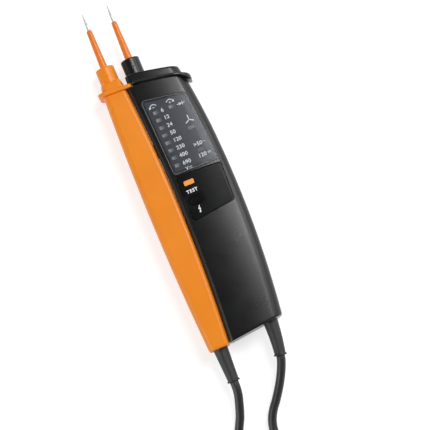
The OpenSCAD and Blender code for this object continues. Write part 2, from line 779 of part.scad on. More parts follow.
grip_count = 5;
grip_pitch = 1.8;
grip_w = 13;
grip_t = 0.8;
grip_depth = 0.5;
module battery_cover() {
    color([0.12, 0.12, 0.12]) place() difference() {
        translate([bay_x, cover_y, 0]) plate(cover_w, cover_len, cover_r, 0, cover_t);
        for (i = [0 : grip_count - 1])
            translate([bay_x - grip_w / 2, bay_y - bay_len / 2 + (i + 1) * grip_pitch, -over])
                cube([grip_w, grip_t, grip_depth + over]);
        translate([bay_x, cover_screw_y, -over]) {
            cylinder(d = screw_d + 4 * fit, h = cover_t + 2 * over, $fn = turned_fn / 2);
            cylinder(d = screw_head_d + 4 * fit, h = cover_head_t + over, $fn = turned_fn);
        }
    }
}
cover_head_t = 1;

module battery_screw() {
    color([0.7, 0.7, 0.7]) place() translate([bay_x, cover_screw_y, fit]) difference() {
        union() {
            cylinder(d = screw_head_d, h = cover_head_t - fit, $fn = turned_fn);
            cylinder(d = screw_d, h = cover_screw_len, $fn = turned_fn / 2);
        }
        translate([-slot_len / 2, -slot_w / 2, -over]) cube([slot_len, slot_w, cover_head_t / 2 + over]);
    }
}

module display_screws() {
    color([0.7, 0.7, 0.7]) place() for (p = display_bosses) screw(p);
}

// A probe: a pointed metal pin in a tapered insulating sleeve with a flange in the nose
pin_root = 6;
point_d = 0.5;
neck_cut = 0.12;
module pin_form(x, collar_y, tip_y) {
    root_y = cavity_end_y - nose_len;
    translate([x, root_y, axis_z]) rotate([-90, 0, 0]) rotate_extrude($fn = turned_fn) polygon([
        [0, 0], [pin_d / 2, 0], [pin_d / 2, tip_y - point_len - root_y - 2 * neck_cut],
        [pin_d / 2 - neck_cut, tip_y - point_len - root_y - neck_cut],
        [pin_d / 2, tip_y - point_len - root_y], [point_d / 2, tip_y - root_y - point_d / 2],
        [0, tip_y - root_y]]);
}
module sleeve_form(x, collar_y) {
    tip = collar_y + sleeve_len;
    soft = sleeve_tip_d / 4;
    translate([x, sleeve_root_y + fit, axis_z]) rotate([-90, 0, 0]) rotate_extrude($fn = turned_fn) {
        base = sleeve_root_y + fit;
        polygon([
            [pin_d / 2 + tiny, 0], [sleeve_base_d / 2, 0], [sleeve_base_d / 2, flange_y - base],
            [flange_d / 2, flange_y - base], [flange_d / 2, flange_y + flange_t - base],
            [sleeve_base_d / 2, flange_y + flange_t - base], [sleeve_base_d / 2, collar_y - base],
            [sleeve_tip_d / 2, tip - soft - base], [sleeve_tip_d / 2 - soft / 3, tip - soft / 3 - base],
            [sleeve_tip_d / 2 - soft, tip - base], [pin_d / 2 + tiny, tip - base]]);
    }
}
module display_pin() {
    color([0.75, 0.75, 0.76]) place() pin_form(pin_x, display_collar_y, display_tip_y);
}
module probe_pin() {
    color([0.75, 0.75, 0.76]) place() pin_form(-pin_x, probe_collar_y, probe_tip_y);
}
module display_sleeve() {
    color([0.93, 0.47, 0.18]) place() sleeve_form(pin_x, display_collar_y);
}
module probe_sleeve() {
    color([0.93, 0.47, 0.18]) place() sleeve_form(-pin_x, probe_collar_y);
}

// A flexible sleeve: flange and neck in the wall, then a tapered bent tail with an end ring
relief_ring_d = 9.4;
relief_sides = 20;
relief_steps = 7;
tail_len = relief_len + relief_sink;
function arc_at(s, bend) =
    let (a = bend * s / tail_len, r = tail_len * 180 / (max(bend, tiny) * PI))
    bend < tiny ? [0, -s] : [-r * (1 - cos(a)), -r * sin(a)];
function relief_ring(s, r, bend) =
    let (c = arc_at(s, bend), a = bend * s / tail_len)
    [for (k = [0 : relief_sides - 1]) let (t = 360 * k / relief_sides)
        [c[0] + r * cos(t) * cos(a), c[1] + r * cos(t) * -sin(a), -r * sin(t)]];
module relief_tail(bend) {
    body_len = tail_len - relief_ring_t;
    taper = (relief_base_d - relief_end_d) / 2;
    skin(concat(
        [for (i = [0 : relief_steps]) let (s = i / relief_steps)
            relief_ring(s * body_len, relief_base_d / 2 - taper * s, bend)],
        [relief_ring(body_len, relief_ring_d / 2 - fit, bend),
         relief_ring(body_len + fit, relief_ring_d / 2, bend),
         relief_ring(tail_len - fit, relief_ring_d / 2, bend),
         relief_ring(tail_len, relief_ring_d / 2 - fit, bend)]));
}
module relief_form(x, y, lean, bend) {
    translate([x, y, axis_z]) rotate([0, 0, lean]) {
        translate([0, relief_sink - fit, 0]) relief_tail(bend);
        bar_y(neck_d, 0, wall + 2 * fit + over);
        bar_y(inner_flange_d, wall + 2 * fit, wall + 2 * fit + inner_flange_t);
    }
}
module display_relief() {
    color([0.18, 0.18, 0.18]) place()
        relief_form(display_relief_x, display_relief_y, display_relief_lean, relief_bend);
}
module probe_relief() {
    color([0.18, 0.18, 0.18]) place() relief_form(relief_x, 0, 0, 0);
}

// Shape of the probe handle
function probe_ring(y, inset, step = 0, drop = 0) =
    [for (p = section(probe_left(y) + step, probe_right(y) - step, 0, probe_depth - drop,
                      probe_corners, inset)) [p[0], y, p[1]]];
module probe_form() {
    skin(concat(
        [probe_ring(0, end_round), probe_ring(end_round / 3, end_round / 3)],
        [for (s = body_shares) probe_ring(handle_len * s, 0)],
        [for (k = [0 : 2]) let (s = k / 2)
            probe_ring(guard_mid_y + s * (probe_block_len - end_round / 2), 0,
                probe_block_step + s * probe_block_draft, block_drop + s * block_draft)],
        [probe_ring(probe_block_y, end_round, probe_block_step + probe_block_draft,
            block_drop + block_draft)]));
}
function probe_guard_point(p) =
    [p[0], p[1] + pow(min(p[0] + probe_guard_flat, 0), 2) / (2 * probe_guard_r), p[2]];
probe_guard_flat = 2;
module probe_guard() {
    skin([for (g = guard_profile)
        [for (p = guard_ring(probe_left(handle_len) - probe_guard_side, probe_guard_overlap,
                probe_depth + guard_rise, probe_guard_corners, guard_mid_y + g[0] * guard_t, g[1]))
            probe_guard_point(p)]]);
}
function probe_cavity_ring(y) =
    [for (p = section(probe_left(y) + wall, probe_right(y) - wall, wall, probe_depth - wall,
                      [for (c = probe_corners) shrunk(c, wall)], 0, cavity_steps)) [p[0], y, p[1]]];
module probe_cavity() {
    skin(concat([probe_cavity_ring(cavity_low_y)],
        [for (s = cavity_shares) probe_cavity_ring(handle_len * s)], [probe_cavity_ring(cavity_end_y)]));
}
module probe_outside() {
    probe_form();
    probe_guard();
    translate([-pin_x, 0, axis_z]) collar(guard_top_y, probe_collar_y);
}
module probe_front_shell() {
    color([0.94, 0.57, 0.19]) place() difference() {
        union() {
            front_half() difference() {
                union() probe_outside();
                probe_cavity();
            }
            for (p = probe_bosses) boss(p, axis_z + parting_gap / 2, probe_depth - wall + tiny);
        }
        nose_bores(-pin_x, probe_collar_y, probe_depth);
        relief_seat(relief_x, 0, 0);
        for (p = probe_bosses) pilot(p);
    }
}
module probe_back_shell() {
    color([0.93, 0.56, 0.18]) place() difference() {
        union() {
            back_half() difference() {
                union() probe_outside();
                probe_cavity();
            }
            for (p = probe_bosses) boss(p, wall - tiny, axis_z - parting_gap / 2);
            for (s = cradle_shares) cradle(handle_len * s);
            for (y = tongue_ys) clip_tongue(y);
        }
        nose_bores(-pin_x, probe_collar_y, probe_depth);
        relief_seat(relief_x, 0, 0);
        for (p = probe_bosses) screw_way(p);
    }
}
cradle_shares = [0.2, 0.36, 0.6, 0.9];
cradle_t = 1.6;
cradle_w = 8;
module cradle(y) {
    translate([-pin_x, y, axis_z]) difference() {
        translate([-cradle_w / 2, -cradle_t / 2, wall - tiny - axis_z])
            cube([cradle_w, cradle_t, axis_z - wall]);
        bar_y(y > wire_top_y ? probe_resistor_d + 2 * fit : wire_d + 2 * fit, -cradle_t, cradle_t);
    }
}
module clip_tongue(y) {
    x = probe_right(y) - wall;
    reach = wall + seam_gap + tongue_len;
    translate([x, y - tongue_w / 2, tongue_z]) cube([reach - tongue_nose, tongue_w, tongue_h]);
    translate([x, y - tongue_w / 2 + tongue_nose, tongue_z + tongue_nose / 2])
        cube([reach, tongue_w - 2 * tongue_nose, tongue_h - tongue_nose]);
}
tongue_nose = 0.8;

// Inside the probe handle: a chain of resistors behind the pin and the wire to the lead
probe_resistor_d = 4.4;
probe_resistor_len = 14;
probe_resistor_gap = 4;
probe_resistor_count = 3;
wire_d = 2.4;
chain_top_y = cavity_end_y - nose_len - tiny;
chain_len = probe_resistor_count * (probe_resistor_len + probe_resistor_gap);
wire_top_y = chain_top_y - chain_len - tiny;
wire_low_y = wall + inner_flange_t + 3 * fit;
module probe_resistors() {
    color([0.35, 0.45, 0.6]) place() translate([-pin_x, 0, axis_z]) {
        bar_y(resistor_wire_d, wire_top_y + tiny, chain_top_y);
        for (i = [0 : probe_resistor_count - 1])
            let (top = chain_top_y - probe_resistor_gap / 2 - i * (probe_resistor_len + probe_resistor_gap))
                bar_y(probe_resistor_d, top - probe_resistor_len, top);
    }
}
module probe_wire() {
    color([0.75, 0.15, 0.1]) place() translate([-pin_x, 0, axis_z]) bar_y(wire_d, wire_low_y, wire_top_y);
}
module probe_screws() {
    color([0.7, 0.7, 0.7]) place() for (p = probe_bosses) screw(p);
}

// The lead: a free stretch from each handle, and between them one coil in two layers of loops.
// The free stretches' points are chosen by hand; the coil's are worked out.
lead_r = lead_d / 2;
probe_run = [
    [-9.7, -33, 13.1], [-11.9, -41, 10.6], [-15, -49.5, 7.6], [-18.9, -57.1, 5.5], [-22.5, -65, 4],
    [-26.3, -72.9, 3.3], [-30.4, -80.7, 3.2], [-34.8, -88.3, 3.2]];
display_run = [
    [25.6, -28, 12.8], [20.2, -38, 10.2], [13.3, -48, 7.4], [9.3, -53, 6.1], [6, -58.5, 4.7],
    [4, -64.7, 3.7], [3.4, -71.3, 3.7], [4.1, -77.6, 5.3], [6, -83.6, 7.5], [8.8, -89.3, 9.4]];
coil_hub = [-13, -130];
coil_start = 136;
coil_end = 46;
whole_turns = 5;
coil_turns = whole_turns - (coil_start - coil_end) / 360;
coil_mid_share = 5.5;
coil_mid_r = lead_d * coil_mid_share;
loop_gap = 0.7;
loop_step = lead_d + loop_gap;
layer_turns = (coil_turns - 1 / 2) / 2;
coil_in_r = coil_mid_r - loop_step * layer_turns / 2;
rings_per_loop = 24;
function coil_r(t) =
    t < layer_turns ? coil_in_r + loop_step * (layer_turns - t)
    : t < layer_turns + 1 / 2 ? let (f = t - layer_turns) coil_in_r - loop_step * (f - 2 * f * f)
    : coil_in_r + loop_step * (t - layer_turns - 1 / 2);
function eased(s) = s * s * (3 - 2 * s);
function coil_z(t) = lead_r + tiny + loop_step * eased(grown(t, layer_turns, layer_turns + 1 / 2));
function coil_at(t) = let (a = coil_start + 360 * t)
    [coil_hub[0] + coil_r(t) * cos(a), coil_hub[1] + coil_r(t) * sin(a), coil_z(t)];
coil_rings = round(coil_turns * rings_per_loop);
coil_body = [for (i = [0 : coil_rings]) coil_at(coil_turns * i / coil_rings)];
coil_in = unit(coil_body[1] - coil_body[0]);
coil_out = unit(coil_body[coil_rings] - coil_body[coil_rings - 1]);
coil_points = concat(
    [coil_body[0] - coil_in * lead_d], coil_body, [coil_body[coil_rings] + coil_out * lead_d]);

function along(points) = [for (i = [0 : len(points) - 1])
    unit(points[min(i + 1, len(points) - 1)] - points[max(i - 1, 0)])];
function ring_at(p, t, r, sides) =
    let (side = unit(cross(t, [0, 0, 1])), up = cross(side, t))
    [for (k = [0 : sides - 1]) let (a = 360 * k / sides) p + r * (side * cos(a) + up * sin(a))];
module tube(points, d, sides, first = undef, last = undef) {
    t = along(points);
    end = len(points) - 1;
    skin([for (i = [0 : end]) ring_at(points[i],
        i == 0 && !is_undef(first) ? first : i == end && !is_undef(last) ? last : t[i], d / 2, sides)]);
}
// Where a flexible sleeve lets the lead go, and in which direction
function turned(p, a) = [p[0] * cos(a) - p[1] * sin(a), p[0] * sin(a) + p[1] * cos(a)];
relief_end = turned(arc_at(tail_len + tiny, relief_bend) + [0, relief_sink - fit], display_relief_lean);
display_exit = [display_relief_x + relief_end[0], display_relief_y + relief_end[1], axis_z];
display_way = [sin(display_relief_lean - relief_bend), -cos(display_relief_lean - relief_bend), 0];
probe_exit = [relief_x, -relief_len - fit - tiny, axis_z];
run_sides = 10;
coil_sides = 6;
first_coil = coil_points[0];
last_coil = coil_points[len(coil_points) - 1];
module lead_probe_run() {
    color([0.16, 0.16, 0.16]) place()
        tube(concat([probe_exit], probe_run, [first_coil - coil_in * tiny]), lead_d, run_sides,
            [0, -1, 0], coil_in);
}
module lead_coil() {
    color([0.16, 0.16, 0.16]) place() tube(coil_points, lead_d, coil_sides);
}
module lead_display_run() {
    points = concat([display_exit], display_run, [last_coil + coil_out * tiny]);
    color([0.16, 0.16, 0.16]) place() tube(points, lead_d, run_sides, display_way, -coil_out);
}
// The least gap between two loops of the coil, and the lead's length
loop_gaps = [for (i = [0 : coil_rings], j = [i + rings_per_loop / 2 : 1 : coil_rings])
    norm(coil_body[i] - coil_body[j]) - lead_d];
function length_of(p) = [for (i = 1, s = norm(p[1] - p[0]); i < len(p); i = i + 1,
    s = i < len(p) ? s + norm(p[i] - p[i - 1]) : s) s][len(p) - 2];
union() {
    echo(least_loop_gap = min(loop_gaps));
    echo(lead_length = length_of(coil_points) + length_of(concat([probe_exit], probe_run, [first_coil]))
        + length_of(concat([display_exit], display_run, [last_coil])));
    echo(coil_width = 2 * (coil_in_r + loop_step * layer_turns + lead_r));
}

display_front_shell();
display_back_shell();
display_window();
light_mask();
indicator_lights();
circuit_board();
controller_chip();
protection_resistors();
buzzer();
display_pin_clamp();
key_panel();
test_key();
key_switch();
signal_lens();
batteries();
battery_contacts();
battery_cover();
battery_screw();
display_screws();
display_pin();
display_sleeve();
display_relief();
probe_front_shell();
probe_back_shell();
probe_pin();
probe_sleeve();
probe_resistors();
probe_wire();
probe_screws();
probe_relief();
lead_probe_run();
lead_coil();
lead_display_run();
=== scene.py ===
"""Looks of the two-pole voltage tester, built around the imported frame.

Lengths in the shape code are millimetres in the part's own drawing frame: x across from the middle
between the probes, y along the handles from the probe handle's lower end, z up from the flat back.
place() turns such a point into metres in the frame's coordinates.
"""

from math import atan2, cos, hypot, pi, radians, sin, sqrt, tan
from types import SimpleNamespace

import bmesh
import bpy
from bpy.props import FloatProperty, FloatVectorProperty, IntProperty, PointerProperty
from bpy.types import Operator, Panel, PropertyGroup
from mathutils import Matrix, Vector


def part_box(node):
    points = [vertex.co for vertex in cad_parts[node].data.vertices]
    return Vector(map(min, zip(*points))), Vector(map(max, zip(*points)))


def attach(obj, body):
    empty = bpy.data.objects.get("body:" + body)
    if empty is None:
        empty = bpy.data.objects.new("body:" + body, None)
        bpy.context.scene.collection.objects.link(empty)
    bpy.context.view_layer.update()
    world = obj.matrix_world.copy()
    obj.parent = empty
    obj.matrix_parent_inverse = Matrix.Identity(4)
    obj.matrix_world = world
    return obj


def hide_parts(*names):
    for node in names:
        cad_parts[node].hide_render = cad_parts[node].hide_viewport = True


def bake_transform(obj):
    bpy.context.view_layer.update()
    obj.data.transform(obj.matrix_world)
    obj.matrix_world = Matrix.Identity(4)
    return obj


bl_info = {
    "name": "Two-pole voltage tester",
    "version": (1, 0, 0),
    "blender": (4, 5, 0),
    "location": "3D View > Sidebar > Tester",
    "description": "Builds the looks of a two-pole voltage tester around its frame",
    "category": "Object",
}

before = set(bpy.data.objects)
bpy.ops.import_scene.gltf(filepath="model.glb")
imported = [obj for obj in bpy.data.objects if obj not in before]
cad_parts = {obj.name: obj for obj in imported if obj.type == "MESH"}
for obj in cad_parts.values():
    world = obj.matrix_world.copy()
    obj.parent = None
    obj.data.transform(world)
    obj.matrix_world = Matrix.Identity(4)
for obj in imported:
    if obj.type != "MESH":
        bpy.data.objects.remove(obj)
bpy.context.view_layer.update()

MM = 0.001
HOME = Vector((-12.924, -118.35, 0.0))
DISPLAY = "display_handle"
PROBE = "probe_handle"


def place(p):
    """A point of the drawing, in mm, as a point of the frame, in metres."""
    return (Vector(p) + HOME) * MM


# ---- settings

LENGTH = {"subtype": "DISTANCE", "unit": "LENGTH"}
POINT = {"subtype": "TRANSLATION", "unit": "LENGTH"}
COLOUR = {"subtype": "COLOR", "min": 0, "max": 1}


class TesterFormSettings(PropertyGroup):
    corner_steps: IntProperty(
        name="Corner steps", description="Facets in each moulded corner", default=10, min=4, max=24)
    ring_pitch: FloatProperty(
        name="Ring pitch", description="Distance between a handle's cross sections",
        default=4 * MM, min=1 * MM, max=20 * MM, **LENGTH)
    turned_sides: IntProperty(
        name="Turned sides", description="Sides of collars and flexible sleeves", default=64, min=16, max=128)
    window_bevel: FloatProperty(
        name="Window bevel", description="Width of the bright bevel round the window",
        default=0.4 * MM, min=0.1 * MM, max=0.8 * MM, **LENGTH)


class TesterLeadSettings(PropertyGroup):
    diameter: FloatProperty(
        name="Diameter", description="Outer diameter of the lead",
        default=6.3 * MM, min=4 * MM, max=8 * MM, **LENGTH)
    sides: IntProperty(name="Sides", description="Sides of the lead's tube", default=28, min=10, max=64)


class TesterFinishSettings(PropertyGroup):
    black: FloatVectorProperty(
        name="Black housing", description="Colour of the display handle", default=(0.0045, 0.0048, 0.0048),
        **COLOUR)
    orange: FloatVectorProperty(
        name="Orange housing", description="Colour of the probe handle", default=(0.85, 0.25, 0.010),
        **COLOUR)
    print_white: FloatVectorProperty(
        name="Print", description="Colour of the printed signs", default=(0.93, 0.94, 0.95),
        **COLOUR)
    grain: FloatProperty(
        name="Grain", description="Size of the grain in the black housing",
        default=0.6 * MM, min=0.1 * MM, max=2 * MM, **LENGTH)


class TesterStageSettings(PropertyGroup):
    eye: FloatVectorProperty(
        name="Camera", description="Place of the camera",
        default=(-0.003575, -0.18735, 1.35), **POINT)
    look_at: FloatVectorProperty(
        name="Looks at", description="Point that the camera looks at",
        default=(0.010525, -0.02975, 0.02), **POINT)
    roll: FloatProperty(
        name="Roll", description="Turn of the camera about its line of sight",
        default=radians(22.6), subtype="ANGLE", unit="ROTATION")
    lens: FloatProperty(
        name="Lens", description="Focal length on a 36 mm sensor", default=158.3, min=20, max=400)
    tent: FloatProperty(
        name="Tent", description="Strength of the white walls all around", default=1.0, min=0, max=3)
    ceiling: FloatProperty(
        name="Ceiling", description="Strength of the darker part overhead", default=0.08, min=0, max=3)
    key: FloatProperty(
        name="Key light", description="Power of the light over the outer side", default=12.2, min=0, max=200)
    side: FloatProperty(
        name="Side light", description="Power of the low light at the outer side", default=5, min=0, max=200)
    fill: FloatProperty(
        name="Fill light", description="Power of the light at the inner side", default=5.8, min=0, max=200)


# ---- materials


def feed(made, inputs):
    """Sets a node's inputs: a socket is linked, anything else is a constant."""
    for key, value in inputs.items():
        socket = made.inputs[key]
        if isinstance(value, bpy.types.NodeSocket):
            made.id_data.links.new(value, socket)
        else:
            socket.default_value = (*value, 1) if socket.type == "RGBA" else value


def node(tree, kind, inputs=None, out=None, **values):
    """Adds a node to the right of what feeds it and returns the output out, or else the first."""
    made = tree.nodes.new(kind)
    for key, value in values.items():
        setattr(made, key, value)
    feed(made, inputs or {})
    x = 200 + max((link.from_node.location.x for link in tree.links if link.to_node == made), default=-1900)
    made.location = (x, 300 - 200 * sum(other.location.x == x for other in tree.nodes))
    return made.outputs[out] if out else next(o for o in made.outputs if o.enabled)


def material(name):
    """A new material, as (material, shader, object coordinates)."""
    made = bpy.data.materials.new(name)
    made.use_nodes = True
    tree = made.node_tree
    return made, tree.nodes["Principled BSDF"], node(tree, "ShaderNodeTexCoord", out="Object")


def surface(tree, shader):
    feed(tree.nodes["Material Output"], {"Surface": shader})


def noise(coords, size, detail=2.0, distortion=0.0):
    """Noise whose lumps are about size millimetres across."""
    return node(coords.id_data, "ShaderNodeTexNoise", {
        "Vector": coords, "Scale": 1.0 / (size * MM), "Detail": detail, "Roughness": 0.55,
        "Distortion": distortion})


def spread(value, low, high, start=0.3, end=0.7):
    """Maps the span from start to end, by default most of a noise, to the one from low to high."""
    return node(value.id_data, "ShaderNodeMapRange", {
        "Value": value, "From Min": start, "From Max": end, "To Min": low, "To Max": high})


def calculated(operation, a, b):
    return node(a.id_data, "ShaderNodeMath", {0: a, 1: b}, operation=operation)


def mixed(fac, a, b):
    """A colour that is a where fac is 0 and b where it is 1."""
    return node(fac.id_data, "ShaderNodeMix", {"Factor": fac, "A": a, "B": b}, data_type="RGBA")


def mixed_shader(fac, a, b):
    return node(fac.id_data, "ShaderNodeMixShader", {0: fac, 1: a, 2: b})


def bump(height, strength, depth):
    return node(height.id_data, "ShaderNodeBump", {
        "Height": height, "Strength": strength, "Distance": depth * MM})


def moulded(name, colour, rough, grain=0.4, depth=0.02, mottle=0.06, rough_spread=0.05, specular=0.5,
            blotch=9.0, glint=0.0):
    """Moulded plastic: fine grain, a slightly drifting colour, and a patchy sheen from handling."""
    _, shader, coords = material("tester_" + name)
    patches = spread(noise(coords, blotch, 3), 0, 1)
    handled = noise(coords, blotch * 1.7, 4, 0.4)
    fine = noise(coords, grain, 3)
    darker, lighter = (tuple(min(1, c * k) for c in colour) for k in (1 - mottle, 1 + mottle))
    feed(shader, {
        "Base Color": mixed(patches, darker, lighter),
        "Roughness": calculated("ADD", spread(handled, rough - rough_spread, rough + rough_spread),
                                spread(fine, -glint, glint, 0.4, 0.6)),
        "Normal": bump(fine, 1.0, depth),
        "Specular IOR Level": specular})
    return shader, coords


def recolour(shader, fac, colour):
    """Changes a shader's colour to another one where fac is 1."""
    now = shader.inputs["Base Color"].links[0].from_socket
    feed(shader, {"Base Color": mixed(fac, now, colour)})


def paint_lens_recess_shade(shader, coords, start, pitch, recess_shade):
    """Paints shade on the lenses towards their outer ends, where the recess in the mask shades them; their
    columns stand pitch apart from start.
    """
    x = node(coords.id_data, "ShaderNodeSeparateXYZ", {0: coords})
    across = calculated("FLOORED_MODULO", calculated("SUBTRACT", x, place((start, 0, 0)).x), pitch * MM)
    recolour(shader, spread(across, 0, 1, 2 * MM, 4.8 * MM), recess_shade)


def tint(shader, coords, at, colour):
    """Gives the one lens at a point its own colour."""
    away = node(coords.id_data, "ShaderNodeVectorMath", {0: coords, 1: place(at)}, "Value",
                operation="DISTANCE")
    recolour(shader, spread(away, 1, 0, 4 * MM, 4.5 * MM), colour)


def brushed_metal(name, colour, rough, size=0.25, depth=0.01):
    """Turned or rolled metal: fine lines round it and a little stain."""
    _, shader, coords = material("tester_" + name)
    stain = spread(noise(coords, 4, 3), 0, 1)
    stretched = node(coords.id_data, "ShaderNodeMapping", {"Vector": coords, "Scale": (0.15, 1.0, 0.15)})
    lines = noise(stretched, size)
    feed(shader, {
        "Metallic": 1.0,
        "Base Color": mixed(stain, tuple(c * 0.86 for c in colour), colour),
        "Roughness": spread(lines, rough * 0.75, rough * 1.3),
        "Normal": bump(lines, 0.5, depth)})


def clear_pane(name, tint, gloss, haze):
    """A thin clear pane whose skin mirrors the room, most at a low angle."""
    made, shader, coords = material("tester_" + name)
    tree = made.node_tree
    tree.nodes.remove(shader)
    through = node(tree, "ShaderNodeBsdfTransparent", {"Color": tint})
    wiped = spread(noise(coords, 6, 4, 0.6), haze * 0.88, haze * 1.12)
    skin = node(tree, "ShaderNodeBsdfGlossy", {"Color": gloss, "Roughness": wiped})
    facing = node(tree, "ShaderNodeLayerWeight", {"Blend": 0.5}, "Facing")
    surface(tree, mixed_shader(spread(calculated("POWER", facing, 5.0), 0.04, 0.9, 0, 1), through, skin))


def make_finishes():
    f = bpy.context.scene.tester_finish
    # name, colour, roughness, size and depth of the grain in mm, mottle, spread of the roughness, specular
    moulded("black", f.black, 0.30, f.grain / MM, 0.025, 0.10, 0.025, 0.45, glint=0.015)
    moulded("orange", f.orange, 0.34, 0.7, 0.008, 0.03, 0.04, 0.35, blotch=25)
    moulded("panel", tuple(c * 0.8 for c in f.black), 0.36, 0.3, 0.02, 0.08, 0.04, 0.12)
    moulded("key", tuple(c * 0.5 for c in f.black), 0.36, 0.25, 0.01, 0.08, 0.05, 0.08)
    moulded("mask", (0.034, 0.036, 0.040), 0.5, 0.3, 0.01, 0.06)
    moulded("print", f.print_white, 0.55, 0.2, 0.004, 0.03, blotch=1.5)
    moulded("signal", (0.90, 0.34, 0.045), 0.35, 0.5, 0.006, 0.04)
    moulded("sleeve", (0.78, 0.20, 0.018), 0.3, 0.5, 0.006, 0.05, blotch=5)
    moulded("rubber", (0.020, 0.021, 0.021), 0.5, 0.35, 0.02, 0.10, 0.05)
    moulded("sheath", (0.019, 0.020, 0.020), 0.4, 0.5, 0.01, 0.10, 0.04, blotch=6)
    moulded("component", (0.02, 0.02, 0.022), 0.45, 0.2, 0.01)
    moulded("board", (0.02, 0.11, 0.045), 0.35, 0.6, 0.01, 0.12)
    moulded("resistor", (0.10, 0.16, 0.27), 0.4, 0.4, 0.02, 0.1)
    moulded("cell", (0.16, 0.165, 0.18), 0.35, 0.6, 0.01, 0.15)
    moulded("wire", (0.45, 0.03, 0.02), 0.45, 0.4, 0.01, 0.1)
    # The window bevel's opaque grey is a painted highlight, standing for the room mirrored in the clear
    # bevel.
    moulded("window_rim", (0.19, 0.195, 0.20), 0.4, 0.5, 0.004, 0.12, blotch=5)
    lights = moulded("light", (0.34, 0.345, 0.35), 0.3, 0.9, 0.03, 0.35, blotch=1.5)
    # Painted shade: each lens darkens towards one side, as if the recess in the mask shaded it.
    paint_lens_recess_shade(*lights, 9.45, 11.7, (0.075, 0.078, 0.083))
    tint(*lights, (31.9, 152.6, 26), (0.22, 0.20, 0.14))
    tint(*lights, (32.3, 135.3, 26), (0.16, 0.105, 0.11))
    brushed_metal("pin", (0.64, 0.65, 0.66), 0.5, 0.6, 0.0006)
    brushed_metal("steel", (0.56, 0.56, 0.57), 0.32)
    brushed_metal("brass", (0.78, 0.58, 0.27), 0.3)
    clear_pane("window", (0.93, 0.94, 0.96), (0.47, 0.49, 0.52), 0.26)


def look(name):
    """The tester's material of that name; the first call makes them all."""
    if "tester_black" not in bpy.data.materials:
        make_finishes()
    return bpy.data.materials["tester_" + name]


# ---- outline of the handles

HANDLE_LEN = 195.5
BELLY_Y = HANDLE_LEN * 0.537
DISPLAY_DEPTH, PROBE_DEPTH = 28.0, 26.5
PIN_X, AXIS_Z = 9.5, 14.0
WALL, PARTING = 2.2, 0.1
END_X, END_Y = -0.7, 0.8
GUARD_MID, GUARD_TOP = 196.9, 198.3
GUARD_LIP, DISPLAY_GUARD, PROBE_GUARD = 2.6, 1.9, 2.8
DISPLAY_BLOCK_Y = 204.4
COLLAR_R = 6.9
RELIEF_X, RELIEF_BEND = -9.2, radians(8)

# The display handle's slants, curved upper end and domed front
END_SLANT = tan(radians(6.2))
SHOULDER_SLANT = tan(radians(12.2))
SWEEP_X, SWEEP_R = 13.2, 46
CROWN_X, CROWN_R = 19.0, 175.0


def curved(x, r, gap=0.0):
    """A curved side's x as a function of y: x at the widest place, with radius r, moved by gap."""
    return lambda y: x - (y - BELLY_Y) ** 2 / (2 * r) + gap


SEAM = (2.8, 1220)
probe_left = curved(-20.05, -2000)
probe_right = curved(*SEAM, -0.25)
display_left = curved(*SEAM, 0.25)
display_right = curved(47.05, 800)


def grown(y, start, end):
    """0 before start, 1 after end, and a straight ramp between them."""
    return min(max((y - start) / (end - start), 0), 1)


def sweep(x):
    """How far the guard and the upper end sweep back at x: a curve, then a slant."""
    u = max(x - PIN_X, 0)
    v = min(u, SWEEP_X)
    return v * v / (2 * SWEEP_R) + (u - v) * SWEEP_X / SWEEP_R


def display_shift(x, y):
    """How far a cross section of the display handle is moved along y at x."""
    shoulder = max(x - PIN_X, 0) * SHOULDER_SLANT
    return ((x - END_X) * END_SLANT * (1 - grown(y, END_Y, HANDLE_LEN / 2))
            - sweep(x) * grown(y, HANDLE_LEN * 0.77, GUARD_MID)
            - (shoulder - sweep(x)) * grown(y, GUARD_TOP, DISPLAY_BLOCK_Y))


def dome(x, z):
    """How far the display handle's domed front is lowered at x; nothing at the back."""
    return (x - CROWN_X) ** 2 / (2 * CROWN_R) * grown(z, 9, 26)


def section(left, right, low, high, corners, inset=0.0, steps=10, across=0):
    """A rounded cross section, as (x, z) from the front right corner, with across points in front."""
    points = []
    signs = ((1, 1), (-1, 1), (-1, -1), (1, -1))
    for i, ((sx, sz), radii) in enumerate(zip(signs, corners)):
        rx, rz = (max(r - inset, 0.5) for r in radii)
        x = (right if sx > 0 else left) - sx * inset - sx * rx
        z = (high if sz > 0 else low) - sz * inset - sz * rz
        if i == 1:
            start = points[-1][0]
            points += [(start + (x - start) * k / (across + 1), high - inset) for k in range(1, across + 1)]
        for k in range(steps + 1):
            a = radians(90 * i + 90 * k / steps)
            points.append((x + rx * cos(a), z + rz * sin(a)))
    return points


# How an end edge rounds off, as (distance from the end face, inset)
END_PROFILE = ((0, 1.2), (0.05, 0.86), (0.19, 0.54), (0.42, 0.28), (0.72, 0.11), (1.2, 0.02), (2.0, 0.0))

# The shells close most of the gap between the frame's handles, so that no light shows there
CLOSER = 0.18

# The display guard's outer lobe is thicker and curls back from CURL_X on
LOBE_X = display_right(HANDLE_LEN) + 3.8
CURL_X = LOBE_X - 5


def display_guard_y(x, g):
    thick = DISPLAY_GUARD + 2.6 * grown(x, CURL_X - 2, LOBE_X)
    return GUARD_TOP + (g - 0.5) * thick - sweep(x) - max(x - CURL_X, 0) ** 2 / 60


def probe_guard_y(x, g):
    return GUARD_MID + g * PROBE_GUARD + min(x + 2, 0) ** 2 / 238


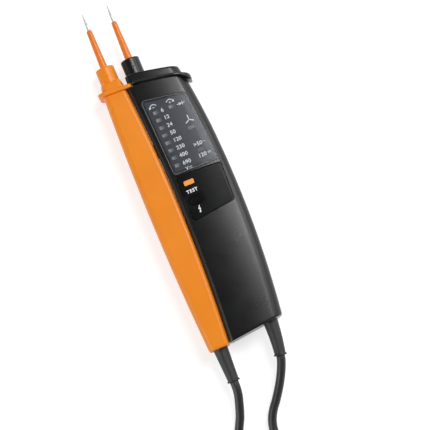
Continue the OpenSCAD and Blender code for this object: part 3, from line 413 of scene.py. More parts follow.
# What tells the two handles apart. across: points along the front, outside and inside the wall. block:
# how much narrower the block over the guard is, left, right and in front, at its foot and at its top.
DISPLAY_HANDLE = SimpleNamespace(
    name="display", body=DISPLAY, finish="black", slot="black_housing",
    left=display_left, right=display_right, depth=DISPLAY_DEPTH, closer=(CLOSER, 0), across=(12, 8),
    corners=((7, 7.5), (3.4, 3.2), (4.5, 4.5), (6, 6)), shift=display_shift, dome=dome,
    end_y=END_Y, block_y=DISPLAY_BLOCK_Y, block=((2.2, 0.6, 0.6), (2.6, 1.0, 0.6)),
    guard_y=display_guard_y, guard_span=(4.5, LOBE_X), guard_rim=DISPLAY_GUARD / PROBE_GUARD,
    guard_corners=((12, 10), (3, 3), (3, 3), (8, 8)), pin_x=PIN_X, collar_y=217.1,
    relief=(30.8, 4.22), lean=radians(-2), bend=RELIEF_BEND, cutter=(-60, 90),
    bosses=[(display_left(9.8) + 6.6, 9.8), (display_right(17.5) - 5.4, 17.5),
            (display_left(79.95) + 4.2, 79.95), (display_right(79.95) - 7, 79.95),
            (display_left(187.0) + 26, 187.0)])
PROBE_HANDLE = SimpleNamespace(
    name="probe", body=PROBE, finish="orange", slot="orange_housing",
    left=probe_left, right=probe_right, depth=PROBE_DEPTH, closer=(0, CLOSER), across=(0, 0),
    corners=((3, 4), (4.2, 6), (5, 5), (4, 4)), shift=lambda x, y: 0, dome=lambda x, z: 0,
    end_y=0, block_y=205.3, block=((-0.3, -0.3, 0.6), (0.5, 0.5, 1.0)),
    guard_y=probe_guard_y, guard_span=(probe_left(HANDLE_LEN) - 3.2, 4.0), guard_rim=1,
    guard_corners=((3, 3), (5, 6), (6, 6), (3, 3)), pin_x=-PIN_X, collar_y=218.0,
    relief=(RELIEF_X, 0), lean=0, bend=0, cutter=(-90, 60),
    bosses=[(probe_left(22) + 4.1, 22.0), (probe_right(BELLY_Y - 7) - 6.7, BELLY_Y - 7),
            (probe_left(187.0) + 4.1, 187.0)])


def bent(h, y, ring):
    """A flat cross section at y, given the slants and the dome of handle h."""
    return [(x, y + h.shift(x, y), z - h.dome(x, z)) for x, z in ring]


def handle_ring(h, y, steps, inset=0.0, narrower=(0, 0, 0)):
    left, right, drop = narrower
    return bent(h, y, section(h.left(y) + left - h.closer[0], h.right(y) - right + h.closer[1], 0,
                              h.depth - drop, h.corners, inset, steps, h.across[0]))


def stations(first, last, pitch):
    count = max(round((last - first) / pitch), 1)
    return [first + (last - first) * i / count for i in range(count + 1)]


def handle_rings(h, steps, pitch):
    """Cross sections of handle h up to the top of the block over the guard."""
    foot, top = h.block
    rings = [handle_ring(h, h.end_y + d, steps, i) for d, i in END_PROFILE]
    rings += [handle_ring(h, y, steps) for y in stations(h.end_y + 4, HANDLE_LEN, pitch)]
    for y in stations(GUARD_MID, h.block_y - 2.2, 1.2):
        k = (y - GUARD_MID) / (h.block_y - 0.6 - GUARD_MID)
        rings.append(handle_ring(h, y, steps, 0, [a + (b - a) * k for a, b in zip(foot, top)]))
    return rings + [handle_ring(h, h.block_y - d, steps, i, top) for d, i in reversed(END_PROFILE)]


def cavity_rings(h):
    """Cross sections of the hollow in handle h."""
    corners = [(a - WALL, b - WALL) for a, b in h.corners]
    return [bent(h, y, section(h.left(y) + WALL, h.right(y) - WALL, WALL, h.depth - WALL,
                               corners, 0, 4, h.across[1]))
            for y in (5.2, *(HANDLE_LEN * k for k in (0.22, 0.45, 0.67, 0.84)), 193.5)]


def guard_rings(h, steps):
    """Cross sections of a hand guard: g is the place across it, and the inset rounds its rim."""
    rings = []
    for g in (-0.5, -0.49, -0.46, -0.41, -0.34, -0.25, -0.14, 0.14, 0.25, 0.34, 0.41, 0.46, 0.49, 0.5):
        inset = 1 - sqrt(max(0, 1 - (max(abs(g) - 0.14, 0) / 0.36) ** 2))
        ring = section(*h.guard_span, 0, h.depth + GUARD_LIP, h.guard_corners, inset * h.guard_rim, steps)
        rings.append([(x, h.guard_y(x, g), z) for x, z in ring])
    return rings


def front_height(x, y):
    """How high the display handle's front stands at (x, y)."""
    y -= display_shift(x, y)
    z = DISPLAY_DEPTH
    for past, (a, b) in zip((x - display_right(y), display_left(y) - x), DISPLAY_HANDLE.corners):
        if past > -a:
            z -= b * (1 - sqrt(max(0, 1 - ((past + a) / a) ** 2)))
    return z - dome(x, z)


# ---- flat outlines


def polar(x, y, r, a):
    return x + r * cos(a), y + r * sin(a)


def disc(x, y, r, sides=40):
    return [polar(x, y, r, 2 * pi * k / sides) for k in range(sides)]


def bar(x, y, w, h):
    return [(x + i * w / 2, y + j * h / 2) for i, j in ((-1, -1), (1, -1), (1, 1), (-1, 1))]


def divided(a, b, n):
    """The first n of n + 1 even points from a to b."""
    return [(a[0] + (b[0] - a[0]) * k / n, a[1] + (b[1] - a[1]) * k / n) for k in range(n)]


def rounded(points, radii, along=0, steps=8):
    """A flat outline with rounded corners, and along more points on each straight side."""
    corners = []
    n = len(points)
    for i, r in enumerate(radii):
        a, b, c = (Vector(points[(i + d) % n]) for d in (-1, 0, 1))
        u, v = (a - b).normalized(), (c - b).normalized()
        half = (pi - u.angle(v)) / 2
        hub = b + (u + v).normalized() * r / cos(half)
        first = b + u * r * tan(half) - hub
        start = atan2(first.y, first.x)
        way = 1 if u.x * v.y - u.y * v.x < 0 else -1
        corners.append([polar(hub.x, hub.y, r, start + way * 2 * half * k / steps) for k in range(steps + 1)])
    return [point for corner, after in zip(corners, corners[1:] + corners[:1])
            for point in corner[:-1] + divided(corner[-1], after[0], along + 1)]


def rounded_bar(x, y, w, h, r):
    return rounded(bar(x, y, w, h), [r] * 4)


def inset_points(points, d):
    """Corners of an outline moved inwards by d, or outwards where d is below 0."""
    n = len(points)
    out = []
    for i in range(n):
        a, b, c = (Vector(points[(i + k) % n]) for k in (-1, 0, 1))
        u, v = (b - a).normalized(), (c - b).normalized()
        p = b + Vector((-u.y, u.x)) * d
        w = b + Vector((-v.y, v.x)) * d - p
        out.append(tuple(p + u * ((w.x * v.y - w.y * v.x) / (u.x * v.y - u.y * v.x))))
    return out


def dense(outline):
    """An outline with its long sides divided, so that it can follow the dome."""
    return [point for a, b in zip(outline, outline[1:] + outline[:1])
            for point in divided(a, b, max(1, round(hypot(b[0] - a[0], b[1] - a[1]) / 1.5)))]


def mouth(corners, radii, gap, flare):
    """Levels of a cut for an inlay: gap wider than it is, and flared at the surface."""
    outline = dense(rounded(inset_points(corners, -gap), radii))
    flared = []
    for i, (x, y) in enumerate(outline):
        ahead = (Vector(outline[(i + 1) % len(outline)]) - Vector(outline[i - 1])).normalized()
        flared.append((x + ahead.y * flare, y - ahead.x * flare))
    top = DISPLAY_DEPTH
    return [(top - 1.6, outline), (top - flare, outline), (top + 0.02, flared), (top + 2, flared)]


# ---- mesh helpers


def added(name, data):
    """A new object in the scene."""
    obj = bpy.data.objects.new(name, data)
    bpy.context.scene.collection.objects.link(obj)
    return obj


def discard(obj):
    mesh = obj.data
    bpy.data.objects.remove(obj)
    bpy.data.meshes.remove(mesh)


def evaluated_mesh(obj):
    """A new mesh of obj with its modifiers applied."""
    bpy.context.view_layer.update()
    return bpy.data.meshes.new_from_object(obj.evaluated_get(bpy.context.evaluated_depsgraph_get()))


def new_object(name, bm, finish=None, smooth=True):
    """Turns a bmesh in drawing millimetres into an object in the frame."""
    for v in bm.verts:
        v.co = place(v.co)
    bmesh.ops.recalc_face_normals(bm, faces=bm.faces)
    mesh = bpy.data.meshes.new(name)
    bm.to_mesh(mesh)
    bm.free()
    if smooth:
        mesh.shade_smooth()
    if finish:
        mesh.materials.append(look(finish))
    return added(name, mesh)


def add_skin(bm, rings, ends="fan"):
    """Joins rings of points into one skin; its ends are a fan, one flat face, or open."""
    rows = [[bm.verts.new(p) for p in ring] for ring in rings]
    n = len(rows[0])
    for a, b in zip(rows, rows[1:]):
        for j in range(n):
            k = (j + 1) % n
            bm.faces.new((a[j], a[k], b[k], b[j]))
    for row in (rows[0], rows[-1]) if ends != "open" else ():
        if ends == "flat":
            bm.faces.new(row)
            continue
        low = Vector(map(min, zip(*[v.co for v in row])))
        high = Vector(map(max, zip(*[v.co for v in row])))
        hub = bm.verts.new((low + high) / 2)
        for j in range(n):
            bm.faces.new((row[j], row[(j + 1) % n], hub))
    return rows


def skin_object(name, rings, finish=None):
    bm = bmesh.new()
    add_skin(bm, rings)
    return new_object(name, bm, finish)


def turned(name, x, profile, sides, finish=None, lean=0.0, about=(0, 0, 0)):
    """A turned form round a line along y at x, from (y, radius) pairs."""
    rings = [[(u, y, z) for u, z in disc(x, AXIS_Z, r, sides)] for y, r in profile]
    if lean:
        spin = Matrix.Rotation(lean, 3, "Z")
        rings = [[spin @ (Vector(p) - Vector(about)) + Vector(about) for p in ring] for ring in rings]
    return skin_object(name, rings, finish)


def prism(name, levels, finish=None, on_dome=False):
    """A prism with flat ends from (z, outline) pairs, following the display's dome if asked."""
    bm = bmesh.new()
    add_skin(bm, [[(x, y, z - dome(x, z) if on_dome else z) for x, y in outline] for z, outline in levels],
             "flat")
    return new_object(name, bm, finish, smooth=False)


def plug(name, low, high, outline, finish=None):
    """A prism of one outline from low to high."""
    return prism(name, [(low, outline), (high, outline)], finish)


def block(name, low, high):
    """A plain box that only cuts."""
    (x, y, z), (u, v, top) = low, high
    return plug(name, z, top, [(x, y), (u, y), (u, v), (x, v)])


def cuts(*tools):
    return [("DIFFERENCE", tool) for tool in tools]


def combined(obj, steps):
    """Applies (operation, tool) pairs to obj in order and removes the tools."""
    for operation, tool in steps:
        mod = obj.modifiers.new(tool.name, "BOOLEAN")
        mod.operation, mod.solver, mod.object = operation, "EXACT", tool
    result = evaluated_mesh(obj)
    obj.modifiers.clear()
    old, obj.data = obj.data, result
    bpy.data.meshes.remove(old)
    for _, tool in steps:
        discard(tool)
    if len(result.polygons) < 20:
        raise RuntimeError(f"cutting {obj.name} left nearly nothing")


def joined(name, objs):
    """Joins meshes into the first one, which gets the name."""
    bm = bmesh.new()
    for obj in objs:
        bm.from_mesh(obj.data)
    first, *others = objs
    bm.to_mesh(first.data)
    bm.free()
    for obj in others:
        discard(obj)
    first.name = first.data.name = name
    return first


def edged(obj, bevel, keep_sharp=True, weight=50):
    """An optional bevel on the hard edges, in mm, and normals that follow the larger faces."""
    if bevel:
        mod = obj.modifiers.new("edge", "BEVEL")
        mod.width, mod.segments, mod.limit_method = bevel * MM, 2, "ANGLE"
        mod.angle_limit = radians(40)
    mod = obj.modifiers.new("normals", "WEIGHTED_NORMAL")
    mod.keep_sharp, mod.weight = keep_sharp, weight


def finish_piece(obj, body, slot, *nodes, angle=None, bevel=0):
    """Attaches obj to body and hides the nodes; with angle, shades smooth but for harder edges, bevelled if
    asked. slot is not used.
    """
    if angle:
        obj.data.shade_smooth()
        obj.data.set_sharp_from_angle(angle=radians(angle))
        edged(obj, bevel, not bevel, 60)
    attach(obj, body)
    if nodes:
        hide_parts(*nodes)


# ---- places on the handles

WINDOW = [(display_left(124.7) + 4.7, 124.7), (display_right(124.7) - 4.7, 124.2),
          (display_right(183.3) - 5.6, 177.7), (display_left(183.3) + 4.7, 183.3)]
WINDOW_R = (2.6, 1.3, 5.2, 2.6)
WINDOW_Z = 26.6
PANEL = [(display_left(89.3) + 5.2, 89.3), (display_right(89.3) - 6.6, 93.46),
         (display_right(122.9) - 5.4, 121.3), (display_left(122.9) + 5.2, 122.9)]
PANEL_R = (2.6, 1.8, 1.3, 0.5)
PANEL_Z = 26.8
KEY = (15.2, 103.3)
KEY_WAY = (*KEY, 10, 7.4, 2.5)
SIGNAL = (15.2, 116.3)
COVER = (17.5, 43.4, 26.7, 58.1)
BAY = ((5.95, 16.15, -1), (29.05, 63.85, 11.9))
NOTCH = ((-4, 195, -1), (4.5, 198.8, 32))
SEAT_R = 5.4
CLIP_Y = (89.95, 148.58)


# ---- operators


class TESTER_OT_stage(Operator):
    """Pale floor, soft lights, and the camera at the photograph's angle"""
    bl_idname = "tester.stage"
    bl_label = "Stage, lights and camera"

    def execute(self, context):
        s = context.scene.tester_stage
        eye, target = Vector(s.eye), Vector(s.look_at)
        ahead = (target - eye).normalized()
        along = Vector((0, 1, 0))
        along = (along - ahead * along.dot(ahead)).normalized()
        side = ahead.cross(along)
        up = along * cos(s.roll) + side * sin(s.roll)
        right = side * cos(s.roll) - along * sin(s.roll)
        data = bpy.data.cameras.new("camera")
        data.lens, data.sensor_width = s.lens, 36
        data.clip_start, data.clip_end = 0.1, 20
        cam = added("camera", data)
        cam.matrix_world = Matrix.Translation(eye) @ Matrix((right, up, -ahead)).transposed().to_4x4()
        context.scene.camera = cam

        bm = bmesh.new()
        bmesh.ops.create_grid(bm, x_segments=8, y_segments=8, size=3.0)
        mesh = bpy.data.meshes.new("floor")
        bm.to_mesh(mesh)
        bm.free()
        floor = added("floor", mesh)
        floor.location = (0, 0, -0.0002)
        mesh.materials.append(self.paper())

        self.light("key", s.key, 0.5, 0.6, (0.6, 0.3, 1.4))
        self.light("side", s.side, 0.5, 0.9, (1.05, 0.15, 0.75))
        self.light("fill", s.fill, 0.3, 0.9, (-1.05, -0.25, 0.75))
        context.scene.world = self.tent(s.tent, s.ceiling)
        context.scene.view_settings.view_transform = "Standard"
        return {"FINISHED"}

    @staticmethod
    def paper():
        """Pale paper with the tester's shadow, seen white away from it; the white lights nothing."""
        made, shader, coords = material("floor")
        tree = made.node_tree
        tone = mixed(spread(noise(coords, 300), 0, 1), (0.86, 0.865, 0.87), (0.88, 0.88, 0.88))
        feed(shader, {"Base Color": tone, "Roughness": 0.9, "Specular IOR Level": 0.1})
        plain = shader.outputs["BSDF"]
        glow = node(tree, "ShaderNodeEmission", {"Strength": 0.45})
        lit = node(tree, "ShaderNodeAddShader", {0: plain, 1: glow})
        white = node(tree, "ShaderNodeEmission", {"Strength": 1.0})
        reach = node(tree, "ShaderNodeVectorMath", {0: coords}, "Value", operation="LENGTH")
        seen = mixed_shader(spread(reach, 0.4, 1, 0.5, 1.1), lit, white)
        rays = node(tree, "ShaderNodeLightPath").node.outputs
        bright = calculated("MAXIMUM", rays["Is Camera Ray"], rays["Is Glossy Ray"])
        bright = calculated("MAXIMUM", bright, rays["Is Transmission Ray"])
        surface(tree, mixed_shader(bright, plain, seen))
        return made

    @staticmethod
    def tent(strength, ceiling):
        """A light tent: white all round and darker overhead, the same for every ray."""
        world = bpy.data.worlds.new("tent")
        world.use_nodes = True
        tree = world.node_tree
        coords = node(tree, "ShaderNodeTexCoord", out="Generated")
        height = node(tree, "ShaderNodeSeparateXYZ", {0: coords}, "Z")
        feed(tree.nodes["Background"], {
            "Color": (1, 1, 1), "Strength": spread(height, strength, ceiling, 0.1, 0.6)})
        return world

    @staticmethod
    def light(name, power, width, height, at):
        """A rectangular lamp at a place, turned to the tester."""
        data = bpy.data.lights.new(name, "AREA")
        data.shape, data.size, data.size_y, data.energy = "RECTANGLE", width, height, power
        lamp = added(name, data)
        lamp.location = at
        lamp.rotation_euler = (-Vector(at)).to_track_quat("-Z", "Y").to_euler()


LEAD_D = 6.3
PROBE_EXIT = (RELIEF_X, -24.95, AXIS_Z)
DISPLAY_EXIT = (28.137, -20.572, AXIS_Z)
PROBE_RUN = [(-9.7, -33, 13.1), (-11.9, -41, 10.6), (-15, -49.5, 7.6), (-18.9, -57.1, 5.5),
             (-22.5, -65, 4), (-26.3, -72.9, 3.3), (-30.4, -80.7, 3.2), (-34.8, -88.3, 3.2)]
DISPLAY_RUN = [(25.6, -28, 12.8), (20.2, -38, 10.2), (13.3, -48, 7.4), (9.3, -53, 6.1), (6, -58.5, 4.7),
               (4, -64.7, 3.7), (3.4, -71.3, 3.7), (4.1, -77.6, 5.3), (6, -83.6, 7.5), (8.8, -89.3, 9.4)]
COIL_HUB = (-13, -130)
COIL_START, COIL_END = 136, 46
COIL_TURNS = 5 - (COIL_START - COIL_END) / 360
LOOP_STEP = 7.0
LAYER_TURNS = (COIL_TURNS - 0.5) / 2
COIL_IN_R = LEAD_D * 5.5 - LOOP_STEP * LAYER_TURNS / 2


def coil_at(t):
    """The lead's middle after t turns: inwards below, then up, and outwards above."""
    f = t - LAYER_TURNS
    r = COIL_IN_R + LOOP_STEP * (-f if f < 0 else 2 * f * f - f if f < 0.5 else f - 0.5)
    k = grown(t, LAYER_TURNS, LAYER_TURNS + 0.5)
    z = 3.2 + LOOP_STEP * k * k * (3 - 2 * k)
    a = radians(COIL_START + 360 * t)
    return Vector((*polar(*COIL_HUB, r, a), z))


def curve_through(points, per_span, first, last):
    """A smooth curve through points, with the end directions given."""
    pts = [Vector(p) for p in points]
    ways = [Vector(first).normalized(), *((c - a).normalized() for a, c in zip(pts, pts[2:])),
            Vector(last).normalized()]
    out = []
    for a, b, ta, tb in zip(pts, pts[1:], ways, ways[1:]):
        span = (b - a).length
        for k in range(per_span):
            s = k / per_span
            h = (2 * s ** 3 - 3 * s * s + 1, s ** 3 - 2 * s * s + s, -2 * s ** 3 + 3 * s * s, s ** 3 - s * s)
            out.append(a * h[0] + ta * span * h[1] + b * h[2] + tb * span * h[3])
    return out + [pts[-1]]


def lead_route(per_loop, per_span):
    """The lead's middle from the probe handle's sleeve to the display handle's."""
    count = round(COIL_TURNS * per_loop)
    coil = [coil_at(COIL_TURNS * i / count) for i in range(count + 1)]
    enter = (coil_at(COIL_TURNS / 114) - coil[0]).normalized()
    leave = (coil[-1] - coil_at(COIL_TURNS * 113 / 114)).normalized()
    turn = DISPLAY_HANDLE.lean - RELIEF_BEND
    probe = curve_through([PROBE_EXIT, *PROBE_RUN, coil[0] - enter * LEAD_D], per_span, (0, -1, 0), enter)
    display = curve_through([DISPLAY_EXIT, *DISPLAY_RUN, coil[-1] + leave * LEAD_D], per_span,
                            (sin(turn), -cos(turn), 0), -leave)
    return probe + coil + display[::-1]


class TESTER_OT_lead(Operator):
    """The lead from the one handle to the other, with its put-away length in one coil"""
    bl_idname = "tester.lead"
    bl_label = "Lead"

    def execute(self, context):
        s = context.scene.tester_lead
        r = s.diameter / MM / 2
        line = lead_route(48, 12)
        rings = []
        for i, p in enumerate(line):
            t = (line[min(i + 1, len(line) - 1)] - line[max(i - 1, 0)]).normalized()
            across = t.cross(Vector((0, 0, 1))).normalized()
            up = across.cross(t)
            rings.append([p + (across * u + up * v) * r for u, v in disc(0, 0, 1, s.sides)])
        lead = skin_object("lead", rings, "sheath")
        place((-9.2, -24.2, 14))
        place((0.0, -39.0, 14))
        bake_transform(lead)
        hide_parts("lead_probe_run", "lead_coil", "lead_display_run")
        points = [place(p) for p in lead_route(16, 4)]
        place(PROBE_EXIT)
        return {"FINISHED"}


def screw_ways(places):
    """Stepped holes from the back: a chamfer, a screw head's way and its thread's hole."""
    steps = ((-1, 2.75), (0, 2.75), (0.25, 2.5), (3.2, 2.5), (3.21, 1.4), (12, 1.4))
    return cuts(*(prism(f"screw_way{i}", [(z, disc(x, y, r)) for z, r in steps])
                  for i, (x, y) in enumerate(places)))


def build_shells(form, h, whole_steps, front_steps, back_steps, last_steps=()):
    """Handle h's two shells: a hull with guard and collar, hollowed, and cut at the parting line."""
    s = form.corner_steps
    top = h.collar_y - 1
    collar = [(HANDLE_LEN, COLLAR_R), (GUARD_TOP, COLLAR_R), (top, COLLAR_R)]
    collar += [(top + sin(a), COLLAR_R - 1 + cos(a)) for a in map(radians, range(15, 91, 15))]
    x, y = h.relief
    front = skin_object(h.name + "_shell_front", handle_rings(h, s, form.ring_pitch / MM), h.finish)
    combined(front, [
        ("UNION", skin_object("guard", guard_rings(h, s), h.finish)),
        ("UNION", turned("collar", h.pin_x, collar, form.turned_sides, h.finish)),
        *cuts(skin_object("cavity", cavity_rings(h)),
              turned("bore", h.pin_x, [(HANDLE_LEN + 4, 2.9), (h.collar_y + 1, 2.9)], 40)),
        *whole_steps,
        *cuts(turned("seat", x, [(y - 3, SEAT_R), (y + 0.8, SEAT_R)], 48, None, h.lean, (x, y, 0))),
    ])
    back = added(h.name + "_shell_back", front.data.copy())
    low, high = h.cutter
    upper = block("upper", (low, -60, AXIS_Z + PARTING / 2), (high, 300, 60))
    lower = block("lower", (low, -60, -30), (high, 300, AXIS_Z - PARTING / 2))
    combined(front, [("INTERSECT", upper), *front_steps])
    combined(back, [("INTERSECT", lower), *back_steps, *screw_ways(h.bosses), *last_steps])
    for obj, half in ((front, "front"), (back, "back")):
        finish_piece(obj, h.body, h.slot, f"{h.name}_{half}_shell", angle=32)


class TESTER_OT_display_shells(Operator):
    """The black handle's two moulded shells, with guard, collar and all openings"""
    bl_idname = "tester.display_shells"
    bl_label = "Display handle shells"

    def execute(self, context):
        x, y, w, h = COVER
        wide, narrow = (rounded_bar(x, y, w + d, h + d, 2.4 + d / 2) for d in (0.7, 0.2))
        slots = [block(f"slot{i}", (x - 2, y - 5.8, 5.7), (x + 4.2, y + 5.8, 10.3))
                 for i, (x, y) in enumerate((display_left(y), y) for y in CLIP_Y)]
        build_shells(context.scene.tester_form, DISPLAY_HANDLE, cuts(block("notch", *NOTCH)), cuts(
            prism("window_cut", mouth(WINDOW, WINDOW_R, 0.1, 0.3), on_dome=True),
            plug("window_way", 14.5, 26.9, rounded(inset_points(WINDOW, 1.4), WINDOW_R)),
            prism("panel_cut", mouth(PANEL, PANEL_R, 0.5, 0.25), on_dome=True),
            plug("key_way", 14.5, 26.9, rounded_bar(*KEY_WAY)),
        ), cuts(
            prism("cover_cut", [(-0.5, wide), (0, wide), (0.25, narrow), (1.7, narrow)]),
            block("bay", *BAY),
        ), cuts(*slots))
        return {"FINISHED"}


class TESTER_OT_probe_shells(Operator):
    """The orange handle's two moulded shells, with guard, collar and clip tongues"""
    bl_idname = "tester.probe_shells"
    bl_label = "Probe handle shells"

    def execute(self, context):
        tongues = []
        for i, y in enumerate(CLIP_Y):
            x = probe_right(y) - WALL
            levels = [(z, [(x, y - w), (x + r, y - w + 0.4), (x + r, y + w - 0.4), (x, y + w)])
                      for z, w, r in ((6.0, 5.1, 5.1), (6.4, 5.5, 5.9), (9.6, 5.5, 5.9), (10.0, 5.1, 5.1))]
            tongues.append(("UNION", prism(f"tongue{i}", levels, "orange")))
        build_shells(context.scene.tester_form, PROBE_HANDLE, (), (), tongues)
        return {"FINISHED"}


class TESTER_OT_reliefs(Operator):
    """The two flexible sleeves where the lead leaves the handles"""
    bl_idname = "tester.reliefs"
    bl_label = "Flexible sleeves"

    def execute(self, context):
        for h in (DISPLAY_HANDLE, PROBE_HANDLE):
            obj = skin_object(h.name + "_flex_sleeve",
                              self.rings(h, context.scene.tester_form.turned_sides), "rubber")
            finish_piece(obj, h.body, "relief_rubber", h.name + "_relief", angle=50)
        return {"FINISHED"}

    @staticmethod
    def rings(h, sides):
        """Rings of a sleeve: the part held in the handle, the tapered and bent body, and the lip."""
        tail = 25.6
        lip = tail - 1.3
        widest, taper = 5.3, 1.3
        profile = [(-4.7, 0.01), (-4.7, 6.2), (-2.8, 6.2), (-2.7, 4.5), (-0.05, 4.5), (0, 5.1),
                   (0.25, widest)]
        profile += [(k, widest - taper * k / lip) for k in stations(1.2, lip - 0.35, 1.1)]
        profile += [(lip - 0.1, 4.08), (lip, 4.35), (lip + 0.12, 4.58), (lip + 0.4, 4.7), (tail - 0.4, 4.7),
                    (tail - 0.12, 4.58), (tail, 4.3), (tail, 3.35), (tail - 0.5, 3.15), (tail - 0.8, 0.01)]
        turn = Matrix.Rotation(h.lean, 3, "Z")
        base = Vector((*h.relief, AXIS_Z))
        rings = []
        for s, r in profile:
            k = max(s, 0)
            a = h.bend * k / tail
            r_bend = h.bend and tail / h.bend
            middle = Vector((-r_bend * (1 - cos(a)), -r_bend * sin(a) if h.bend else -k, 0))
            middle.y += 0.7 - min(s, 0)
            rings.append([base + turn @ (middle + Vector((u * cos(a), -u * sin(a), -v)))
                          for u, v in disc(0, 0, r, sides)])
        return rings


# ---- printed signs


def flat_object(name, outlines, z):
    """Flat signs 0.03 mm thick from closed outlines."""
    bm = bmesh.new()
    for outline in outlines:
        add_skin(bm, [[(x, y, level) for x, y in outline] for level in (z, z + 0.03)], "flat")
    return new_object(name, bm, "print", smooth=False)


def words(text, at, height, z, align, bold=0.095, spacing=1.08):
    """Plain characters laid flat, their foot towards the lower end, centred on at in y."""
    curve = bpy.data.curves.new("text", "FONT")
    curve.body, curve.align_x, curve.align_y = text, align, "CENTER"
    curve.size, curve.space_character = height * 1.38 * MM, spacing
    curve.extrude, curve.offset = 0.015 * MM, bold * MM
    holder = added("text", curve)
    mesh = evaluated_mesh(holder)
    bpy.data.objects.remove(holder)
    bpy.data.curves.remove(curve)
    spot = place((*at, z))
    for v in mesh.vertices:
        v.co += spot
    mesh.materials.clear()
    mesh.materials.append(look("print"))
    return added("text", mesh)


def direct_current(x, y, gap):
    """One long bar over three short ones."""
    return [bar(x, y, 2.3, 0.4), *(bar(x + d, y - gap, 0.6, 0.4) for d in (-0.85, 0, 0.85))]


def wave(at, length):
    """The sign for alternating current."""
    top = [(at[0] + length * (k / 12 - 0.5), at[1] + 0.35 * sin(2 * pi * k / 12) + 0.16) for k in range(13)]
    return [[(x, y - 0.34) for x, y in reversed(top)] + top]


def arc_arrow(at, r, way):
    """An arc open below, with an arrow head at the end that way says."""
    spans = [radians(25 + 130 * k / 14) for k in range(15)]
    arc = [polar(*at, r, a) for a in spans] + [polar(*at, r - 0.6, a) for a in reversed(spans)]
    tip = spans[0] if way > 0 else spans[-1]
    p = Vector(polar(*at, r - 0.3, tip))
    forward = Vector((-sin(tip), cos(tip))) * -way
    aside = Vector((-forward.y, forward.x))
    return [arc, [tuple(p + forward * 1.7), tuple(p + aside * 1.05), tuple(p - aside * 1.05)]]


def blade(at, a, length):
    """One blade of the turning-field sign."""
    u = Vector((cos(a), sin(a)))
    v = Vector((-u.y, u.x))
    marks = ((0, 0.26), (0.45, 0.42), (0.8, 0.5), (1, 0), (0.8, -0.38), (0.45, -0.32), (0, -0.26))
    return [[tuple(Vector(at) + u * length * s + v * t) for s, t in marks]]


class TESTER_OT_window(Operator):
    """The clear window and the signs printed under it"""
    bl_idname = "tester.window"
    bl_label = "Window and its print"

    def execute(self, context):
        self.pane(context.scene.tester_form.window_bevel / MM)
        z = WINDOW_Z - 0.06
        size = 2.8
        rows = [words(word, (16.4, 171.6 - 5.86 * i), size, z, "LEFT")
                for i, word in enumerate(("6", "12", "24", "50", "120", "230", "400", "690"))]
        signs = [
            *direct_current(20.7, 126.5, 1.0), *direct_current(37.0, 131.5, 0.9), *wave((36.2, 139.8), 2.4),
            *arc_arrow((12.3, 175.2), 2.9, -1), bar(12.3, 175.6, 1.5, 0.45),
            *arc_arrow((24.5, 174.3), 2.9, 1), bar(24.5, 174.7, 1.5, 0.45), bar(24.5, 174.7, 0.45, 1.5),
            [(30.1, 172.3), (32.1, 171.1), (30.1, 169.9)], bar(32.4, 171.1, 0.55, 2.5),
            bar(29.3, 171.1, 1.7, 0.5), bar(33.5, 171.1, 1.7, 0.5)]
        for turn in (90, 210, 330):
            signs += blade((32.4, 158.0), radians(turn), 3.9)
        label = joined("window_print", [
            *rows, words("V", (18.0, 126.1), 2.5, z, "CENTER"), words(">50", (28.4, 139.5), size, z, "LEFT"),
            words("120", (28.6, 131.0), size, z, "LEFT"), flat_object("signs", signs, z)])
        finish_piece(label, DISPLAY, "mask_plastic")
        return {"FINISHED"}

    @staticmethod
    def pane(bevel):
        """A straight side, a rounded bevel in a grey that paints its highlight, and a top that follows the
        dome.
        """
        rings = [[(x, y, WINDOW_Z) for x, y in rounded(WINDOW, WINDOW_R, 14)]]
        rim = [(bevel * (1 - cos(a)), bevel * 0.7 * (1 - sin(a))) for a in map(radians, range(0, 91, 15))]
        for inset, drop in (*rim, *((bevel + d, 0) for d in (0.1, 0.6, 1.5, 2.8, 4.4, 6))):
            outline = rounded(inset_points(WINDOW, inset), [max(r - inset, 0.6) for r in WINDOW_R], 14)
            rings.append([(x, y, front_height(x, y) - drop) for x, y in outline])
        bm = bmesh.new()
        rows = add_skin(bm, rings, "flat")
        edge = {v for row in rows[1:len(rim) + 1] for v in row}
        for face in bm.faces:
            if all(v in edge for v in face.verts):
                face.material_index = 1
        pane = new_object("window_pane", bm, "window")
        # The bevel's faces take the grey of the painted highlight.
        pane.data.materials.append(look("window_rim"))
        pane.data.set_sharp_from_angle(angle=radians(60))
        finish_piece(pane, DISPLAY, "clear_window", "display_window")


